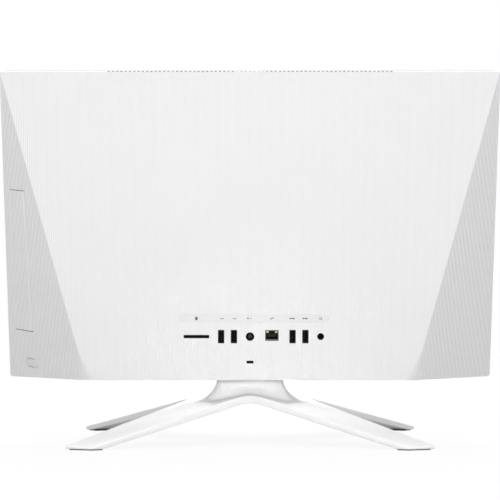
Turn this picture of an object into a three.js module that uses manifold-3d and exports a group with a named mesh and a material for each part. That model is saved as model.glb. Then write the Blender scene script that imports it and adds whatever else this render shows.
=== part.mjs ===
// All-in-one computer on a four-legged stand, built up from its separate pieces.
// Millimetres, +Z up. The screen faces -Y and the ports face +Y.
// The origin lies on the table, under the middle of the box round the whole computer.

import * as THREE from 'three';
import { mergeVertices } from 'three/addons/utils/BufferGeometryUtils.js';
import { ConvexGeometry } from 'three/addons/geometries/ConvexGeometry.js';
import Module from 'manifold-3d';

const wasm = await Module();
wasm.setup();

// Clearances that many pieces share.
const gap = 0.3;
const runningGap = 0.5;
const overrun = 3;

// Points of an outline closer than this share of its corner radius are one point,
// and so are the corners of a mesh that lie closer than the weld.
const mergeShare = 1e-3;
const weld = 1e-4;

// The screen side: a thin frame round the display and a chin with the loudspeaker strip.
const display = { width: 476.6, height: 268.1, overlap: 2.7, cell: 1.4, backlight: 3.1 };
const bezel = { lip: 1.4, sideBorder: 6.7, topBorder: 7.5, lowerBorder: 3 };
const chin = { height: 30, grilleInset: 95, grilleHeight: 12, grilleRise: 9, pocket: 1.6 };
const grille = { thickness: 1 };

// The computer's head: x runs across it, y backwards from its side edges, z up along the screen.
const head = {
  width: display.width + 2 * bezel.sideBorder,
  height: chin.height + bezel.lowerBorder + display.height + bezel.topBorder,
  frontDepth: 17,
  rimDepth: 10,
  bulge: 55.8,
  topCorner: 4,
  bottomCorner: 3,
  wall: 2.2,
};
const facetAngle = THREE.MathUtils.degToRad(32.8);
const restTilt = THREE.MathUtils.degToRad(11.5);

// The crease between the middle face and each side facet softens towards the bottom.
const crease = { bottomBlend: 20, topBlend: 1.5, softHeight: 62 };
const creaseShares = [-1.1, -0.8, -0.5, -0.25, 0, 0.25, 0.5, 0.8, 1.1];
const levelShares = [0, 0.25, 0.5, 0.75, 1];

// The tilt hinge: where its axis lies over the table, and where it lies in the head.
const hinge = {
  back: 26,
  height: 88,
  depth: 18.3,
  rise: 27.1,
  overNeck: 16,
  shaftRadius: 4,
  shaftOverhang: 1.5,
};
const standBracket = { halfWidth: 24, halfDepth: 10, plate: 3, ear: 4, earRadius: 8 };
const headBracket = { halfWidth: 44, plate: 2, arm: 4, armRadius: 8.5, seatHeight: 50, footHeight: 24 };
const washer = { thickness: 1.7, radius: 8 };
const nut = { thickness: 4.4, radius: 6.6 };
const standScrew = { headRadius: 3.2, headHeight: 2, shankRadius: 1.7, length: 10, spacing: 20 };

const speaker = { sideInset: 45, width: 100, bottom: 6, top: 33, depth: 20, windowInset: 12 };
const chassis = { thickness: 1, sideInset: 5, bottom: 36, topInset: 5.6, postRadius: 4 };

// The rear face: places are taken from its middle and from its bottom edge, looking along its own slope.
const ports = { row: 42.9, recess: 0.4 };
const usb = {
  width: 5.7, height: 12.7, shell: 0.45, tongue: 1.9, tongueInset: 0.7, tongueRecess: 1.2, base: 1.4,
};
const usbPlaces = [28.4, 15.8, -41.8, -54.4];
const dcJack = { x: 0, side: 12, nose: 3.9, bore: 3.2, base: 1.6, pinRadius: 2.05, pinRecess: 0.9 };
const ethernet = { x: -21.5, rise: 1.1, width: 15.6, height: 13, noseWidth: 12.6, noseHeight: 10, wall: 0.9,
  tabWidth: 5.6, tabDepth: 1.4, base: 2.4 };
const audio = { x: -69.4, side: 9, nose: 3.1, bore: 1.8, base: 1.5 };
const card = { x: 52.6, width: 24.8, height: 2.9, wall: 2, base: 1.4 };
const lock = { rise: 17.6, width: 6.9, height: 2.75, corner: 0.9, plateWidth: 14, plateHeight: 9, plate: 1.2 };
const band = { left: 68.7, right: -77.4, rise: 60.8, height: 6.8, thickness: 0.6 };

// The circuit board lies along the rear face and carries the ports.
const board = {
  left: 88, right: -95, bottom: 24, top: 160, depth: 16, thickness: 1.6, bossRadius: 3.5, bossInset: 7,
};
const memory = { left: 33, right: -35, bottom: 66, height: 30, thickness: 3.3 };
const wireless = { left: 72, right: 50, bottom: 70, height: 30, thickness: 2.5 };
const coldPlate = { halfWidth: 20, bottom: 108, height: 34, thickness: 2.9 };
const pipe = { radius: 2.5, bend: 16, rootInset: 3, endInset: 1 };
const blower = { left: -14, right: -80, bottom: 162, height: 60, thickness: 11, wall: 1.5, inletRadius: 17,
  rotorRadius: 25, hubRadius: 9, axleRadius: 2, bladeCount: 13, blade: 1, rotorHeight: 6.4, disc: 1.2 };
const fins = { inset: 2, pipeSeat: 15, height: 24, depth: 10, base: 1.2, count: 12, blade: 0.8 };

// The disc drive lies flat behind the screen and opens through the facet on the +X side.
const disc = { sideInset: 25, width: 128, bottom: 58, height: 128, front: 3.6, thickness: 9.5, sheet: 1 };
const tray = {
  thickness: 4, recess: 1, discRadius: 60.2, spindleRadius: 7.5, spindleShaft: 2.6, spindleHeight: 2,
};
const trayBezel = { top: 192.8, bottom: 50.9, topFront: 3.8, topBack: 13.8, bottomFront: 5, bottomBack: 17.3,
  lugHeight: 44, lugReach: 10.5 };

// The power button lies on the same facet, near the bottom corner.
const button = {
  fromEdge: 23.2, length: 15.6, height: 7.9, bottom: 14.3, proud: 0.1,
  flange: 1.1, flangeRim: 1.2, stemRadius: 1.5, stemLength: 1.4, travel: 1,
};
const powerSwitch = { boardThickness: 1.2, bodyWidth: 7, bodyHeight: 6, bodyDepth: 3.5, postWidth: 2 };

// The camera rises out of the top edge; the outlets beside it let the warm air out.
const camera = { halfWidth: 10.2, front: 8.3, back: 3, length: 36.6, proud: 0.4, stepWidth: 7.8, step: 0.7,
  lensX: 6, lensRadius: 2.6, lensDepth: 1, lensDrop: 9 };
const guide = { rail: 2.5, drop: 24, bar: 4, topInset: 1.6 };
const vents = { pitch: 4.2, width: 2.5, count: 67, front: 8, back: 1.2, cameraMargin: 5 };

// The storage drive lies on the other side, in its caddy.
const storage = { sideInset: 30, width: 100, bottom: 70, height: 70, thickness: 7, front: 3 };
const caddy = { sheet: 1.2, flange: 6 };

// The stand: plan corners of one quarter, and how far the upper face lies below the neck or over the table.
const stand = {
  neckRise: 14.5,
  hubBack: 45, hubBackDrop: 8,
  hubSide: 56, hubSideDrop: 13.4,
  innerToeX: 152.5, innerToeY: 91, innerToeTop: 2.5,
  outerToeX: 178, outerToeY: 85.5, outerToeTop: 4.1,
  hubThickness: 7.9, toeThickness: 5,
  sole: 1,
};
const neck = {
  halfWidth: 33.2, halfDepth: 12,
  flareDrop: 14, flareHeight: 21, flareReach: 34, flareDepthReach: 20, lean: 15,
  rootReach: 7, rootDrop: 3,
};
const neckSlotMargin = { side: 4.5, back: 11 };
const pad = { inset: 2, length: 10, recess: 0.8 };

// Places that follow from the sizes above.
const halfWidth = head.width / 2;
const midSlope = head.bulge / head.height;
const midAngle = Math.atan(midSlope);
const facetSlope = Math.tan(facetAngle);
const edgeBottomDepth = head.bulge / (1 + midSlope * Math.tan(restTilt));
const edgeBottomRise = edgeBottomDepth * Math.tan(restTilt);
const boardFront = -board.depth;
const socketBack = boardFront + gap;
const insideFace = -head.wall - gap;
const noseFace = -ports.recess;
const chassisBack = -(head.rimDepth - chassis.thickness);
const discOuter = halfWidth - disc.sideInset;
const discInner = discOuter - disc.width;
const storageOuter = storage.sideInset - halfWidth;
const storageInner = storageOuter + storage.width;
const speakerOuter = halfWidth - speaker.sideInset;
const speakerInner = speakerOuter - speaker.width;
const grilleHalfWidth = halfWidth - chin.grilleInset;
const finBottom = blower.bottom + blower.height + runningGap * 2;
const finEdges = [blower.right + fins.inset, blower.left - fins.inset];
const pipeRise = finBottom + fins.pipeSeat;
const cameraBottom = head.height - camera.length;
const neckTop = hinge.height - hinge.overNeck;
const hubTop = neckTop - stand.neckRise;
const hubBackTop = hubTop - stand.hubBackDrop;
const hubSideTop = hubTop - stand.hubSideDrop;
const flareBase = hubTop - neck.flareDrop;

// Materials.
const finish = (color, roughness, metalness = 0) =>
  new THREE.MeshStandardMaterial({ color, roughness, metalness });
const white = finish(0xf1f1f3, 0.55);
const whiteMetal = finish(0xf2f2f4, 0.4, 0.1);
const smoothWhite = finish(0xe6e6e8, 0.45);
const black = finish(0x141416, 0.35);
const matteBlack = finish(0x1b1b1d, 0.7);
const glassBlack = finish(0x050507, 0.12);
const steel = finish(0xa8abaf, 0.35, 0.9);
const brightSteel = finish(0xc9ccd0, 0.25, 1);
const copper = finish(0xb87348, 0.3, 1);
const green = finish(0x1f5a38, 0.6);
const rubber = finish(0x3a3a3c, 0.9);

// Solids: every shape is a three.js geometry, and these functions join and cut them.
function solidOf(geometry) {
  const bare = geometry.clone();
  bare.deleteAttribute('normal');
  bare.deleteAttribute('uv');
  const merged = mergeVertices(bare, weld);
  return new wasm.Manifold(new wasm.Mesh({
    numProp: 3,
    vertProperties: new Float32Array(merged.attributes.position.array),
    triVerts: new Uint32Array(merged.index.array),
  }));
}

function geometryOf(solid) {
  const mesh = solid.getMesh();
  const geometry = new THREE.BufferGeometry();
  geometry.setAttribute('position', new THREE.BufferAttribute(new Float32Array(mesh.vertProperties), 3));
  geometry.setIndex(new THREE.BufferAttribute(new Uint32Array(mesh.triVerts), 1));
  return geometry;
}

function join(...pieces) {
  return geometryOf(pieces.map(solidOf).reduce((sum, next) => sum.add(next)));
}

function cut(base, ...tools) {
  if (tools.length === 0) return base;
  const tool = tools.map(solidOf).reduce((sum, next) => sum.add(next));
  return geometryOf(solidOf(base).subtract(tool));
}

function common(first, second) {
  return geometryOf(solidOf(first).intersect(solidOf(second)));
}

// A box given by its low and high value along each axis.
function block([x0, x1], [y0, y1], [z0, z1]) {
  return new THREE.BoxGeometry(x1 - x0, y1 - y0, z1 - z0)
    .translate((x0 + x1) / 2, (y0 + y1) / 2, (z0 + z1) / 2);
}

// A straight extrusion along an axis: the outline is in (x, y), (x, z) or (y, z), and runs counterclockwise.
function prism(axis, outline, from, to) {
  const shape = new THREE.Shape(outline.map(([a, b]) => new THREE.Vector2(a, b)));
  const geometry = new THREE.ExtrudeGeometry(shape, { depth: to - from, bevelEnabled: false });
  geometry.translate(0, 0, from);
  const [x, y, z] = [new THREE.Vector3(1, 0, 0), new THREE.Vector3(0, 1, 0), new THREE.Vector3(0, 0, 1)];
  if (axis === 'x') return geometry.applyMatrix4(new THREE.Matrix4().makeBasis(y, z, x));
  if (axis === 'y') {
    geometry.translate(0, 0, -from - to);
    return geometry.applyMatrix4(new THREE.Matrix4().makeBasis(x, z, y.clone().negate()));
  }
  return geometry;
}

// A round bar along an axis, centred on the two other coordinates in their order.
function bar(axis, radius, [a, b], from, to, sides = 24) {
  const outline = [];
  for (let i = 0; i < sides; i += 1) {
    const turn = (i + 0.5) / sides * Math.PI * 2;
    outline.push([a + radius * Math.cos(turn), b + radius * Math.sin(turn)]);
  }
  return prism(axis, outline, from, to);
}

// An outline with four round corners.
function roundedOutline([x0, x1], [y0, y1], radius, steps = 5) {
  const corners = [[x1 - radius, y1 - radius, 0], [x0 + radius, y1 - radius, 1],
    [x0 + radius, y0 + radius, 2], [x1 - radius, y0 + radius, 3]];
  const outline = [];
  for (const [cx, cy, quarter] of corners) {
    for (let i = 0; i <= steps; i += 1) {
      const turn = (quarter + i / steps) * Math.PI / 2;
      outline.push([cx + radius * Math.cos(turn), cy + radius * Math.sin(turn)]);
    }
  }
  return outline.filter(([x, y], i) => {
    const [lastX, lastY] = outline[(i + outline.length - 1) % outline.length];
    return Math.hypot(x - lastX, y - lastY) > mergeShare * radius;
  });
}

function hullOf(points) {
  return new ConvexGeometry(points.map(([x, y, z]) => new THREE.Vector3(x, y, z)));
}

function add(group, name, geometry, material) {
  const mesh = new THREE.Mesh(geometry, material);
  mesh.name = name;
  group.add(mesh);
}

// Frames: the head leans back about the hinge; the rear face and the facet have their own slopes in it.
const computer = new THREE.Group();
const tiltGroup = new THREE.Group();
tiltGroup.position.set(0, hinge.back, hinge.height);
tiltGroup.rotation.x = -restTilt;
const headGroup = new THREE.Group();
headGroup.position.set(0, -hinge.depth, -hinge.rise);
tiltGroup.add(headGroup);
computer.add(tiltGroup);

const faceMatrix = new THREE.Matrix4().makeRotationX(midAngle)
  .setPosition(0, edgeBottomDepth, edgeBottomRise);
const faceGroup = new THREE.Group();
faceGroup.applyMatrix4(faceMatrix);
headGroup.add(faceGroup);

const facetMatrix = new THREE.Matrix4().makeRotationZ(-facetAngle).setPosition(halfWidth, 0, 0);
const facetGroup = new THREE.Group();
facetGroup.applyMatrix4(facetMatrix);
headGroup.add(facetGroup);

const onFace = (geometry) => geometry.applyMatrix4(faceMatrix);
const onFacet = (geometry) => geometry.applyMatrix4(facetMatrix);

// The depth of the back of the head behind its side edges, with the crease blended over.
function backDepth(x, z) {
  const middle = midSlope * (head.height - z);
  const facet = facetSlope * (halfWidth - Math.abs(x));
  const softness = Math.max(0, 1 - (z - edgeBottomRise) / crease.softHeight);
  const blend = crease.topBlend + (crease.bottomBlend - crease.topBlend) * softness ** 2;
  const overlap = Math.max(blend - Math.abs(middle - facet), 0);
  return Math.min(middle, facet) - overlap * overlap / (4 * blend);
}

// The head's outer body, or the body inside its wall: both are convex, so a hull of points makes them.
function headBody(wall, front) {
  const points = [];
  const sideInset = wall;
  const facetInset = wall / Math.cos(facetAngle);
  const midInset = wall / Math.cos(midAngle);
  const x1 = halfWidth - sideInset;
  const outline = (z0, z1, radius) => roundedOutline([-x1, x1], [z0, z1], Math.max(radius - wall, wall / 4), 3);
  const bottom = outline(wall, head.height - wall, head.bottomCorner).filter(([, z]) => z < head.height / 2);
  const top = outline(wall, head.height - wall, head.topCorner).filter(([, z]) => z > head.height / 2);
  const back = Math.min(0, facetSlope * sideInset - facetInset);
  for (const [x, z] of [...bottom, ...top]) {
    points.push([x, -front, z]);
    points.push([x, back, z]);
  }
  const creaseX = (z) => halfWidth - midSlope * (head.height - z) / facetSlope;
  for (const share of levelShares) {
    const level = edgeBottomRise + crease.softHeight * share;
    const spread = crease.bottomBlend / facetSlope;
    const middle = creaseX(level);
    for (const creaseShare of creaseShares) {
      const x = Math.min(middle + spread * creaseShare, halfWidth - head.wall * 2);
      for (const side of [-1, 1]) {
        const depth = backDepth(x, level) - (creaseShare > 0 ? facetInset : midInset);
        const floor = depth * Math.tan(restTilt) + wall / Math.cos(restTilt);
        points.push([side * x, depth, share === 0 ? floor : level]);
      }
    }
  }
  const topLevel = head.height - wall;
  const topX = creaseX(topLevel) - (facetInset - midInset) / facetSlope;
  for (const side of [-1, 1]) {
    points.push([side * Math.min(topX, x1), midSlope * wall - midInset, topLevel]);
  }
  return hullOf(points);
}

// Rear cover: a shell with the outlets, the port holes, the drive's mouth and the slot for the neck.
function bosses() {
  const places = [];
  for (const x of [board.left - board.bossInset, board.right + board.bossInset]) {
    for (const z of [board.bottom + board.bossInset, board.top - board.bossInset]) {
      places.push(onFace(bar('y', board.bossRadius, [x, z], socketBack, -head.wall / 2, 12)));
    }
  }
  const middle = -(button.fromEdge + button.length / 2);
  const reach = button.length / 2 + button.flangeRim + runningGap;
  for (const side of [-1, 1]) {
    const from = middle + side * reach;
    const to = from + side * powerSwitch.postWidth;
    const edges = [Math.min(from, to), Math.max(from, to)];
    places.push(onFacet(block(edges, [switchSeat() + gap, -head.wall / 2],
      [button.bottom, button.bottom + button.height])));
  }
  return places;
}

function switchSeat() {
  return -head.wall - gap - button.flange - button.stemLength - button.travel - gap - powerSwitch.bodyDepth;
}

function ventSlots() {
  const slots = [];
  for (let i = 0; i < vents.count; i += 1) {
    const x = (i - (vents.count - 1) / 2) * vents.pitch;
    if (Math.abs(x) < camera.halfWidth + vents.cameraMargin) continue;
    slots.push(block([x - vents.width / 2, x + vents.width / 2], [-vents.front, -vents.back],
      [head.height - head.wall - overrun, head.height + overrun]));
  }
  return slots;
}

function cameraSlot() {
  return block([-camera.halfWidth - runningGap, camera.halfWidth + runningGap],
    [-camera.front - runningGap, -camera.back + runningGap],
    [head.height - head.wall - overrun, head.height + overrun]);
}

function neckSlot() {
  const side = neck.halfWidth + neckSlotMargin.side;
  const back = (hinge.back + neck.halfDepth + neckSlotMargin.back - edgeBack()) * Math.cos(restTilt);
  return block([-side, side], [0, back], [-overrun, edgeBottomRise + overrun]);
}

// How far behind the origin the head's lower side edge stands at rest.
function edgeBack() {
  return hinge.back - hinge.depth * Math.cos(restTilt) - hinge.rise * Math.sin(restTilt);
}

function portHoles() {
  const holes = [];
  const through = [-head.wall - overrun, overrun];
  const slot = (x, rise, width, height, corner) => {
    const heights = [rise - height / 2, rise + height / 2];
    return prism('y', roundedOutline([x - width / 2, x + width / 2], heights, corner, 3), ...through);
  };
  for (const x of usbPlaces) {
    holes.push(slot(x, ports.row, usb.width + gap * 2, usb.height + gap * 2, usb.shell * 2));
  }
  holes.push(bar('y', dcJack.nose + gap, [dcJack.x, ports.row], ...through));
  holes.push(slot(ethernet.x, ports.row + ethernet.rise, ethernet.noseWidth + gap * 2,
    ethernet.noseHeight + gap * 2, ethernet.wall / 2));
  holes.push(bar('y', audio.nose + gap, [audio.x, ports.row], ...through));
  holes.push(slot(card.x, ports.row, card.width, card.height, card.height / 4));
  holes.push(slot(0, lock.rise, lock.width, lock.height, lock.corner));
  holes.push(prism('y', bandOutline(gap), -band.thickness - gap, overrun));
  return holes.map(onFace);
}

function bandOutline(margin) {
  return roundedOutline([band.right - margin, band.left + margin],
    [band.rise - band.height / 2 - margin, band.rise + band.height / 2 + margin], band.height / 2 + margin, 8);
}

function trayMouth(margin) {
  const outline = [[trayBezel.bottomFront - margin, trayBezel.bottom - margin],
    [trayBezel.bottomBack + margin, trayBezel.bottom - margin],
    [trayBezel.topBack + margin, trayBezel.top + margin],
    [trayBezel.topFront - margin, trayBezel.top + margin]];
  const from = halfWidth - (trayBezel.bottomBack + head.wall * 2) / facetSlope - overrun;
  return prism('x', outline, from, halfWidth + overrun);
}

function buttonOutline(margin) {
  const near = -button.fromEdge;
  return roundedOutline([near - button.length - margin, near + margin],
    [button.bottom - margin, button.bottom + button.height + margin], button.height / 2 + margin, 6);
}

const outerBody = headBody(0, head.rimDepth);
const innerBody = headBody(head.wall, head.rimDepth + overrun);

function rearCover() {
  const shell = join(cut(outerBody, innerBody), ...bosses());
  return cut(shell, ...ventSlots(), cameraSlot(), neckSlot(), ...portHoles(), trayMouth(gap),
    onFacet(prism('y', buttonOutline(gap), -head.wall - overrun, overrun)));
}
add(headGroup, 'rear_cover', rearCover(), white);
add(faceGroup, 'label_band', prism('y', bandOutline(0), -band.thickness, 0), smoothWhite);

// Ports: each is a socket on the circuit board that reaches the rear face.
function usbPort(x) {
  const [w, h] = [usb.width / 2, usb.height / 2];
  const shell = block([x - w, x + w], [socketBack, noseFace], [ports.row - h, ports.row + h]);
  const cavity = block([x - w + usb.shell, x + w - usb.shell], [socketBack + usb.base, noseFace + overrun],
    [ports.row - h + usb.shell, ports.row + h - usb.shell]);
  const near = x - w + usb.shell + usb.tongueInset;
  const tongue = block([near, near + usb.tongue], [socketBack, noseFace - usb.tongueRecess],
    [ports.row - h + usb.shell * 3, ports.row + h - usb.shell * 3]);
  return join(cut(shell, cavity), tongue);
}
usbPlaces.forEach((x, i) => add(faceGroup, `usb_port_${i + 1}`, usbPort(x), i < 2 ? matteBlack : steel));

function roundSocket(x, spec) {
  const half = spec.side / 2;
  const box = block([x - half, x + half], [socketBack, insideFace], [ports.row - half, ports.row + half]);
  const nose = bar('y', spec.nose, [x, ports.row], insideFace - gap, noseFace);
  return cut(join(box, nose), bar('y', spec.bore, [x, ports.row], socketBack + spec.base, overrun));
}
add(faceGroup, 'dc_jack', roundSocket(dcJack.x, dcJack), black);
add(faceGroup, 'dc_pin', bar('y', dcJack.pinRadius, [dcJack.x, ports.row],
  socketBack + dcJack.base + gap, noseFace - dcJack.pinRecess, 16), steel);
add(faceGroup, 'audio_jack', roundSocket(audio.x, audio), black);

function ethernetJack() {
  const rise = ports.row + ethernet.rise;
  const [w, h] = [ethernet.width / 2, ethernet.height / 2];
  const [nw, nh] = [ethernet.noseWidth / 2, ethernet.noseHeight / 2];
  const box = block([ethernet.x - w, ethernet.x + w], [socketBack, insideFace], [rise - h, rise + h]);
  const nose = block([ethernet.x - nw, ethernet.x + nw], [insideFace - gap, noseFace], [rise - nh, rise + nh]);
  const depth = [socketBack + ethernet.base, overrun];
  const cavity = block([ethernet.x - nw + ethernet.wall, ethernet.x + nw - ethernet.wall], depth,
    [rise - nh + ethernet.wall, rise + nh - ethernet.wall - ethernet.tabDepth]);
  const tab = block([ethernet.x - ethernet.tabWidth / 2, ethernet.x + ethernet.tabWidth / 2], depth,
    [rise, rise + nh - ethernet.wall]);
  return cut(join(box, nose), cavity, tab);
}
add(faceGroup, 'ethernet_jack', ethernetJack(), steel);

function cardReader() {
  const [w, h] = [card.width / 2 + card.wall, card.height / 2 + card.wall];
  const box = block([card.x - w, card.x + w], [socketBack, insideFace], [ports.row - h, ports.row + h]);
  const cavity = block([card.x - card.width / 2, card.x + card.width / 2], [socketBack + card.base, overrun],
    [ports.row - card.height / 2, ports.row + card.height / 2]);
  return cut(box, cavity);
}
add(faceGroup, 'card_reader', cardReader(), matteBlack);

function lockPlate() {
  const back = insideFace - lock.plate;
  const outline = (width, height) =>
    roundedOutline([-width / 2, width / 2], [lock.rise - height / 2, lock.rise + height / 2], lock.corner, 3);
  const plate = prism('y', outline(lock.plateWidth, lock.plateHeight), back, insideFace);
  const hole = prism('y', outline(lock.width, lock.height), back - overrun, overrun);
  return cut(plate, hole);
}
add(faceGroup, 'lock_plate', lockPlate(), steel);

// Circuit board with what is plugged into it and cooled on it.
add(faceGroup, 'motherboard', block([board.right, board.left], [boardFront - board.thickness, boardFront],
  [board.bottom, board.top]), green);
[0, 1].forEach((i) => {
  const back = socketBack + (memory.thickness + gap) * i;
  const offset = memory.height / 8 * i;
  add(faceGroup, `memory_module_${i + 1}`, block([memory.right, memory.left], [back, back + memory.thickness],
    [memory.bottom + offset, memory.bottom + memory.height + offset]), green);
});
add(faceGroup, 'wireless_card', block([wireless.right, wireless.left],
  [socketBack, socketBack + wireless.thickness], [wireless.bottom, wireless.bottom + wireless.height]), green);
add(faceGroup, 'cold_plate', block([-coldPlate.halfWidth, coldPlate.halfWidth],
  [socketBack, socketBack + coldPlate.thickness],
  [coldPlate.bottom, coldPlate.bottom + coldPlate.height]), copper);

const pipeDepth = socketBack + coldPlate.thickness + gap + pipe.radius;
function heatPipe() {
  const path = new THREE.CurvePath();
  const at = (x, z) => new THREE.Vector3(x, pipeDepth, z);
  path.add(new THREE.LineCurve3(at(0, coldPlate.bottom + pipe.rootInset), at(0, pipeRise - pipe.bend)));
  path.add(new THREE.QuadraticBezierCurve3(
    at(0, pipeRise - pipe.bend), at(0, pipeRise), at(-pipe.bend, pipeRise)));
  path.add(new THREE.LineCurve3(at(-pipe.bend, pipeRise), at(finEdges[0] + pipe.endInset, pipeRise)));
  const section = new THREE.Shape();
  section.absarc(0, 0, pipe.radius, 0, Math.PI * 2);
  const steps = { steps: 24, curveSegments: 5, extrudePath: path, bevelEnabled: false };
  return new THREE.ExtrudeGeometry(section, steps);
}
add(faceGroup, 'heat_pipe', heatPipe(), copper);

function finStack() {
  const top = insideFace - blower.wall / 2;
  const heights = [finBottom, finBottom + fins.height];
  const pieces = [block(finEdges, [top - fins.base, top], heights)];
  const pitch = (finEdges[1] - finEdges[0] - fins.blade) / (fins.count - 1);
  for (let i = 0; i < fins.count; i += 1) {
    const x = finEdges[0] + pitch * i;
    pieces.push(block([x, x + fins.blade], [top - fins.depth, top - fins.base / 2], heights));
  }
  const reach = pipe.radius + gap;
  const notch = block([finEdges[0] - overrun, finEdges[1] + overrun],
    [top - fins.depth - overrun, pipeDepth + reach], [pipeRise - reach, pipeRise + reach]);
  return cut(join(...pieces), notch);
}
add(faceGroup, 'fin_stack', finStack(), brightSteel);

// Blower: a flat housing with its rotor on a short axle.
const blowerX = (blower.left + blower.right) / 2;
const blowerZ = blower.bottom + blower.height / 2;
function blowerHousing() {
  const heights = [blower.bottom, blower.bottom + blower.height];
  const box = block([blower.right, blower.left], [insideFace - blower.thickness, insideFace], heights);
  const cavity = block([blower.right + blower.wall, blower.left - blower.wall],
    [insideFace - blower.thickness + blower.wall, insideFace - blower.wall],
    [blower.bottom + blower.wall, blower.bottom + blower.height + overrun]);
  const inlet = bar('y', blower.inletRadius, [blowerX, blowerZ],
    insideFace - blower.thickness - overrun, insideFace - blower.thickness / 2, 32);
  const axle = bar('y', blower.axleRadius, [blowerX, blowerZ],
    insideFace - blower.thickness + blower.wall + gap, insideFace - blower.wall / 2, 16);
  return join(cut(box, cavity, inlet), axle);
}
add(faceGroup, 'blower_housing', blowerHousing(), matteBlack);

function blowerRotor() {
  const top = insideFace - blower.wall - gap;
  const low = top - blower.rotorHeight;
  const centre = [blowerX, blowerZ];
  const pieces = [bar('y', blower.rotorRadius - blower.blade, centre, top - blower.disc, top, 32),
    bar('y', blower.hubRadius, centre, low, top, 24)];
  for (let i = 0; i < blower.bladeCount; i += 1) {
    const blade = block([blower.hubRadius - blower.blade, blower.rotorRadius], [low, top],
      [-blower.blade / 2, blower.blade / 2]);
    blade.rotateY(i / blower.bladeCount * Math.PI * 2);
    pieces.push(blade.translate(blowerX, 0, blowerZ));
  }
  return cut(join(...pieces), bar('y', blower.axleRadius + gap, centre, low - overrun, top + overrun, 16));
}
add(faceGroup, 'blower_rotor', blowerRotor(), black);

// Disc drive: case, tray, spindle and the tray's front, which is cut from the head's own body.
const trayFront = disc.front + (disc.thickness - tray.thickness) / 2;
const trayTop = disc.bottom + disc.height - disc.sheet - runningGap;
const trayBottom = disc.bottom + disc.sheet + runningGap;
const trayInner = discInner + disc.sheet + runningGap;
const trayOuter = discOuter - runningGap;
const discCentre = [(trayInner + trayOuter) / 2, (trayBottom + trayTop) / 2];
const spindleFront = trayFront + tray.thickness - tray.recess + gap;
function opticalCase() {
  const box = block([discInner, discOuter], [disc.front, disc.front + disc.thickness],
    [disc.bottom, disc.bottom + disc.height]);
  return cut(box, block([discInner + disc.sheet, discOuter + overrun],
    [disc.front + disc.sheet, disc.front + disc.thickness - disc.sheet],
    [disc.bottom + disc.sheet, disc.bottom + disc.height - disc.sheet]));
}
add(headGroup, 'optical_case', opticalCase(), brightSteel);

function opticalTray() {
  const back = trayFront + tray.thickness;
  const plate = block([trayInner, trayOuter], [trayFront, back], [trayBottom, trayTop]);
  return cut(plate, bar('y', tray.discRadius, discCentre, back - tray.recess, back + overrun, 48),
    bar('y', tray.spindleShaft + gap, discCentre, trayFront - overrun, back, 16));
}
add(headGroup, 'optical_tray', opticalTray(), matteBlack);
add(headGroup, 'disc_spindle', join(
  bar('y', tray.spindleRadius, discCentre, spindleFront, spindleFront + tray.spindleHeight),
  bar('y', tray.spindleShaft, discCentre, trayFront + gap, spindleFront + tray.spindleHeight / 2, 16)), black);

function opticalBezel() {
  const plate = common(cut(outerBody, innerBody), trayMouth(0));
  const middle = (trayBezel.top + trayBezel.bottom) / 2;
  const lug = block([trayOuter + gap, trayOuter + gap + trayBezel.lugReach],
    [trayFront, trayFront + tray.thickness],
    [middle - trayBezel.lugHeight / 2, middle + trayBezel.lugHeight / 2]);
  return join(plate, common(lug, outerBody));
}
add(headGroup, 'optical_bezel', opticalBezel(), white);

// Power button, and the switch behind it on its small board.
function powerButton() {
  const flangeTop = -head.wall - gap;
  const flangeBottom = flangeTop - button.flange;
  const middle = [-(button.fromEdge + button.length / 2), button.bottom + button.height / 2];
  return join(prism('y', buttonOutline(0), flangeTop, button.proud),
    prism('y', buttonOutline(button.flangeRim), flangeBottom, flangeTop),
    bar('y', button.stemRadius, middle, flangeBottom - button.stemLength, flangeTop - button.flange / 2, 12));
}
add(facetGroup, 'power_button', powerButton(), white);

function switchAssembly() {
  const middle = -(button.fromEdge + button.length / 2);
  const rise = button.bottom + button.height / 2;
  const reach = button.length / 2 + button.flangeRim + runningGap + powerSwitch.postWidth;
  const seat = switchSeat();
  return join(
    block([middle - reach, middle + reach], [seat - powerSwitch.boardThickness, seat],
      [button.bottom, button.bottom + button.height]),
    block([middle - powerSwitch.bodyWidth / 2, middle + powerSwitch.bodyWidth / 2],
      [seat - powerSwitch.boardThickness / 2, seat + powerSwitch.bodyDepth],
      [rise - powerSwitch.bodyHeight / 2, rise + powerSwitch.bodyHeight / 2]));
}
add(facetGroup, 'power_switch', switchAssembly(), black);

// Camera: the rising module with its lens, between two guide rails.
function cameraModule() {
  const top = head.height + camera.proud;
  const depth = [-camera.front, -camera.back];
  const box = block([-camera.halfWidth, camera.halfWidth], depth, [cameraBottom, top]);
  const step = block([camera.halfWidth - camera.stepWidth, camera.halfWidth], depth,
    [top - camera.step, top + camera.step]);
  const pocket = bar('y', camera.lensRadius + gap, [camera.lensX, head.height - camera.lensDrop],
    -camera.front - overrun, -camera.front + camera.lensDepth + gap);
  return cut(join(box, step), pocket);
}
add(headGroup, 'camera_module', cameraModule(), smoothWhite);
add(headGroup, 'camera_lens', bar('y', camera.lensRadius, [camera.lensX, head.height - camera.lensDrop],
  -camera.front, -camera.front + camera.lensDepth), glassBlack);

function cameraGuide() {
  const inner = camera.halfWidth + runningGap;
  const outer = inner + guide.rail;
  const low = cameraBottom - guide.drop;
  const depth = [-camera.front, -camera.back];
  return join(
    block([-outer, -inner], depth, [low, head.height - head.wall - guide.topInset]),
    block([inner, outer], depth, [low, head.height - head.wall - guide.topInset]),
    block([-outer, outer], depth, [low, low + guide.bar]));
}
add(headGroup, 'camera_guide', cameraGuide(), matteBlack);

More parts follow.
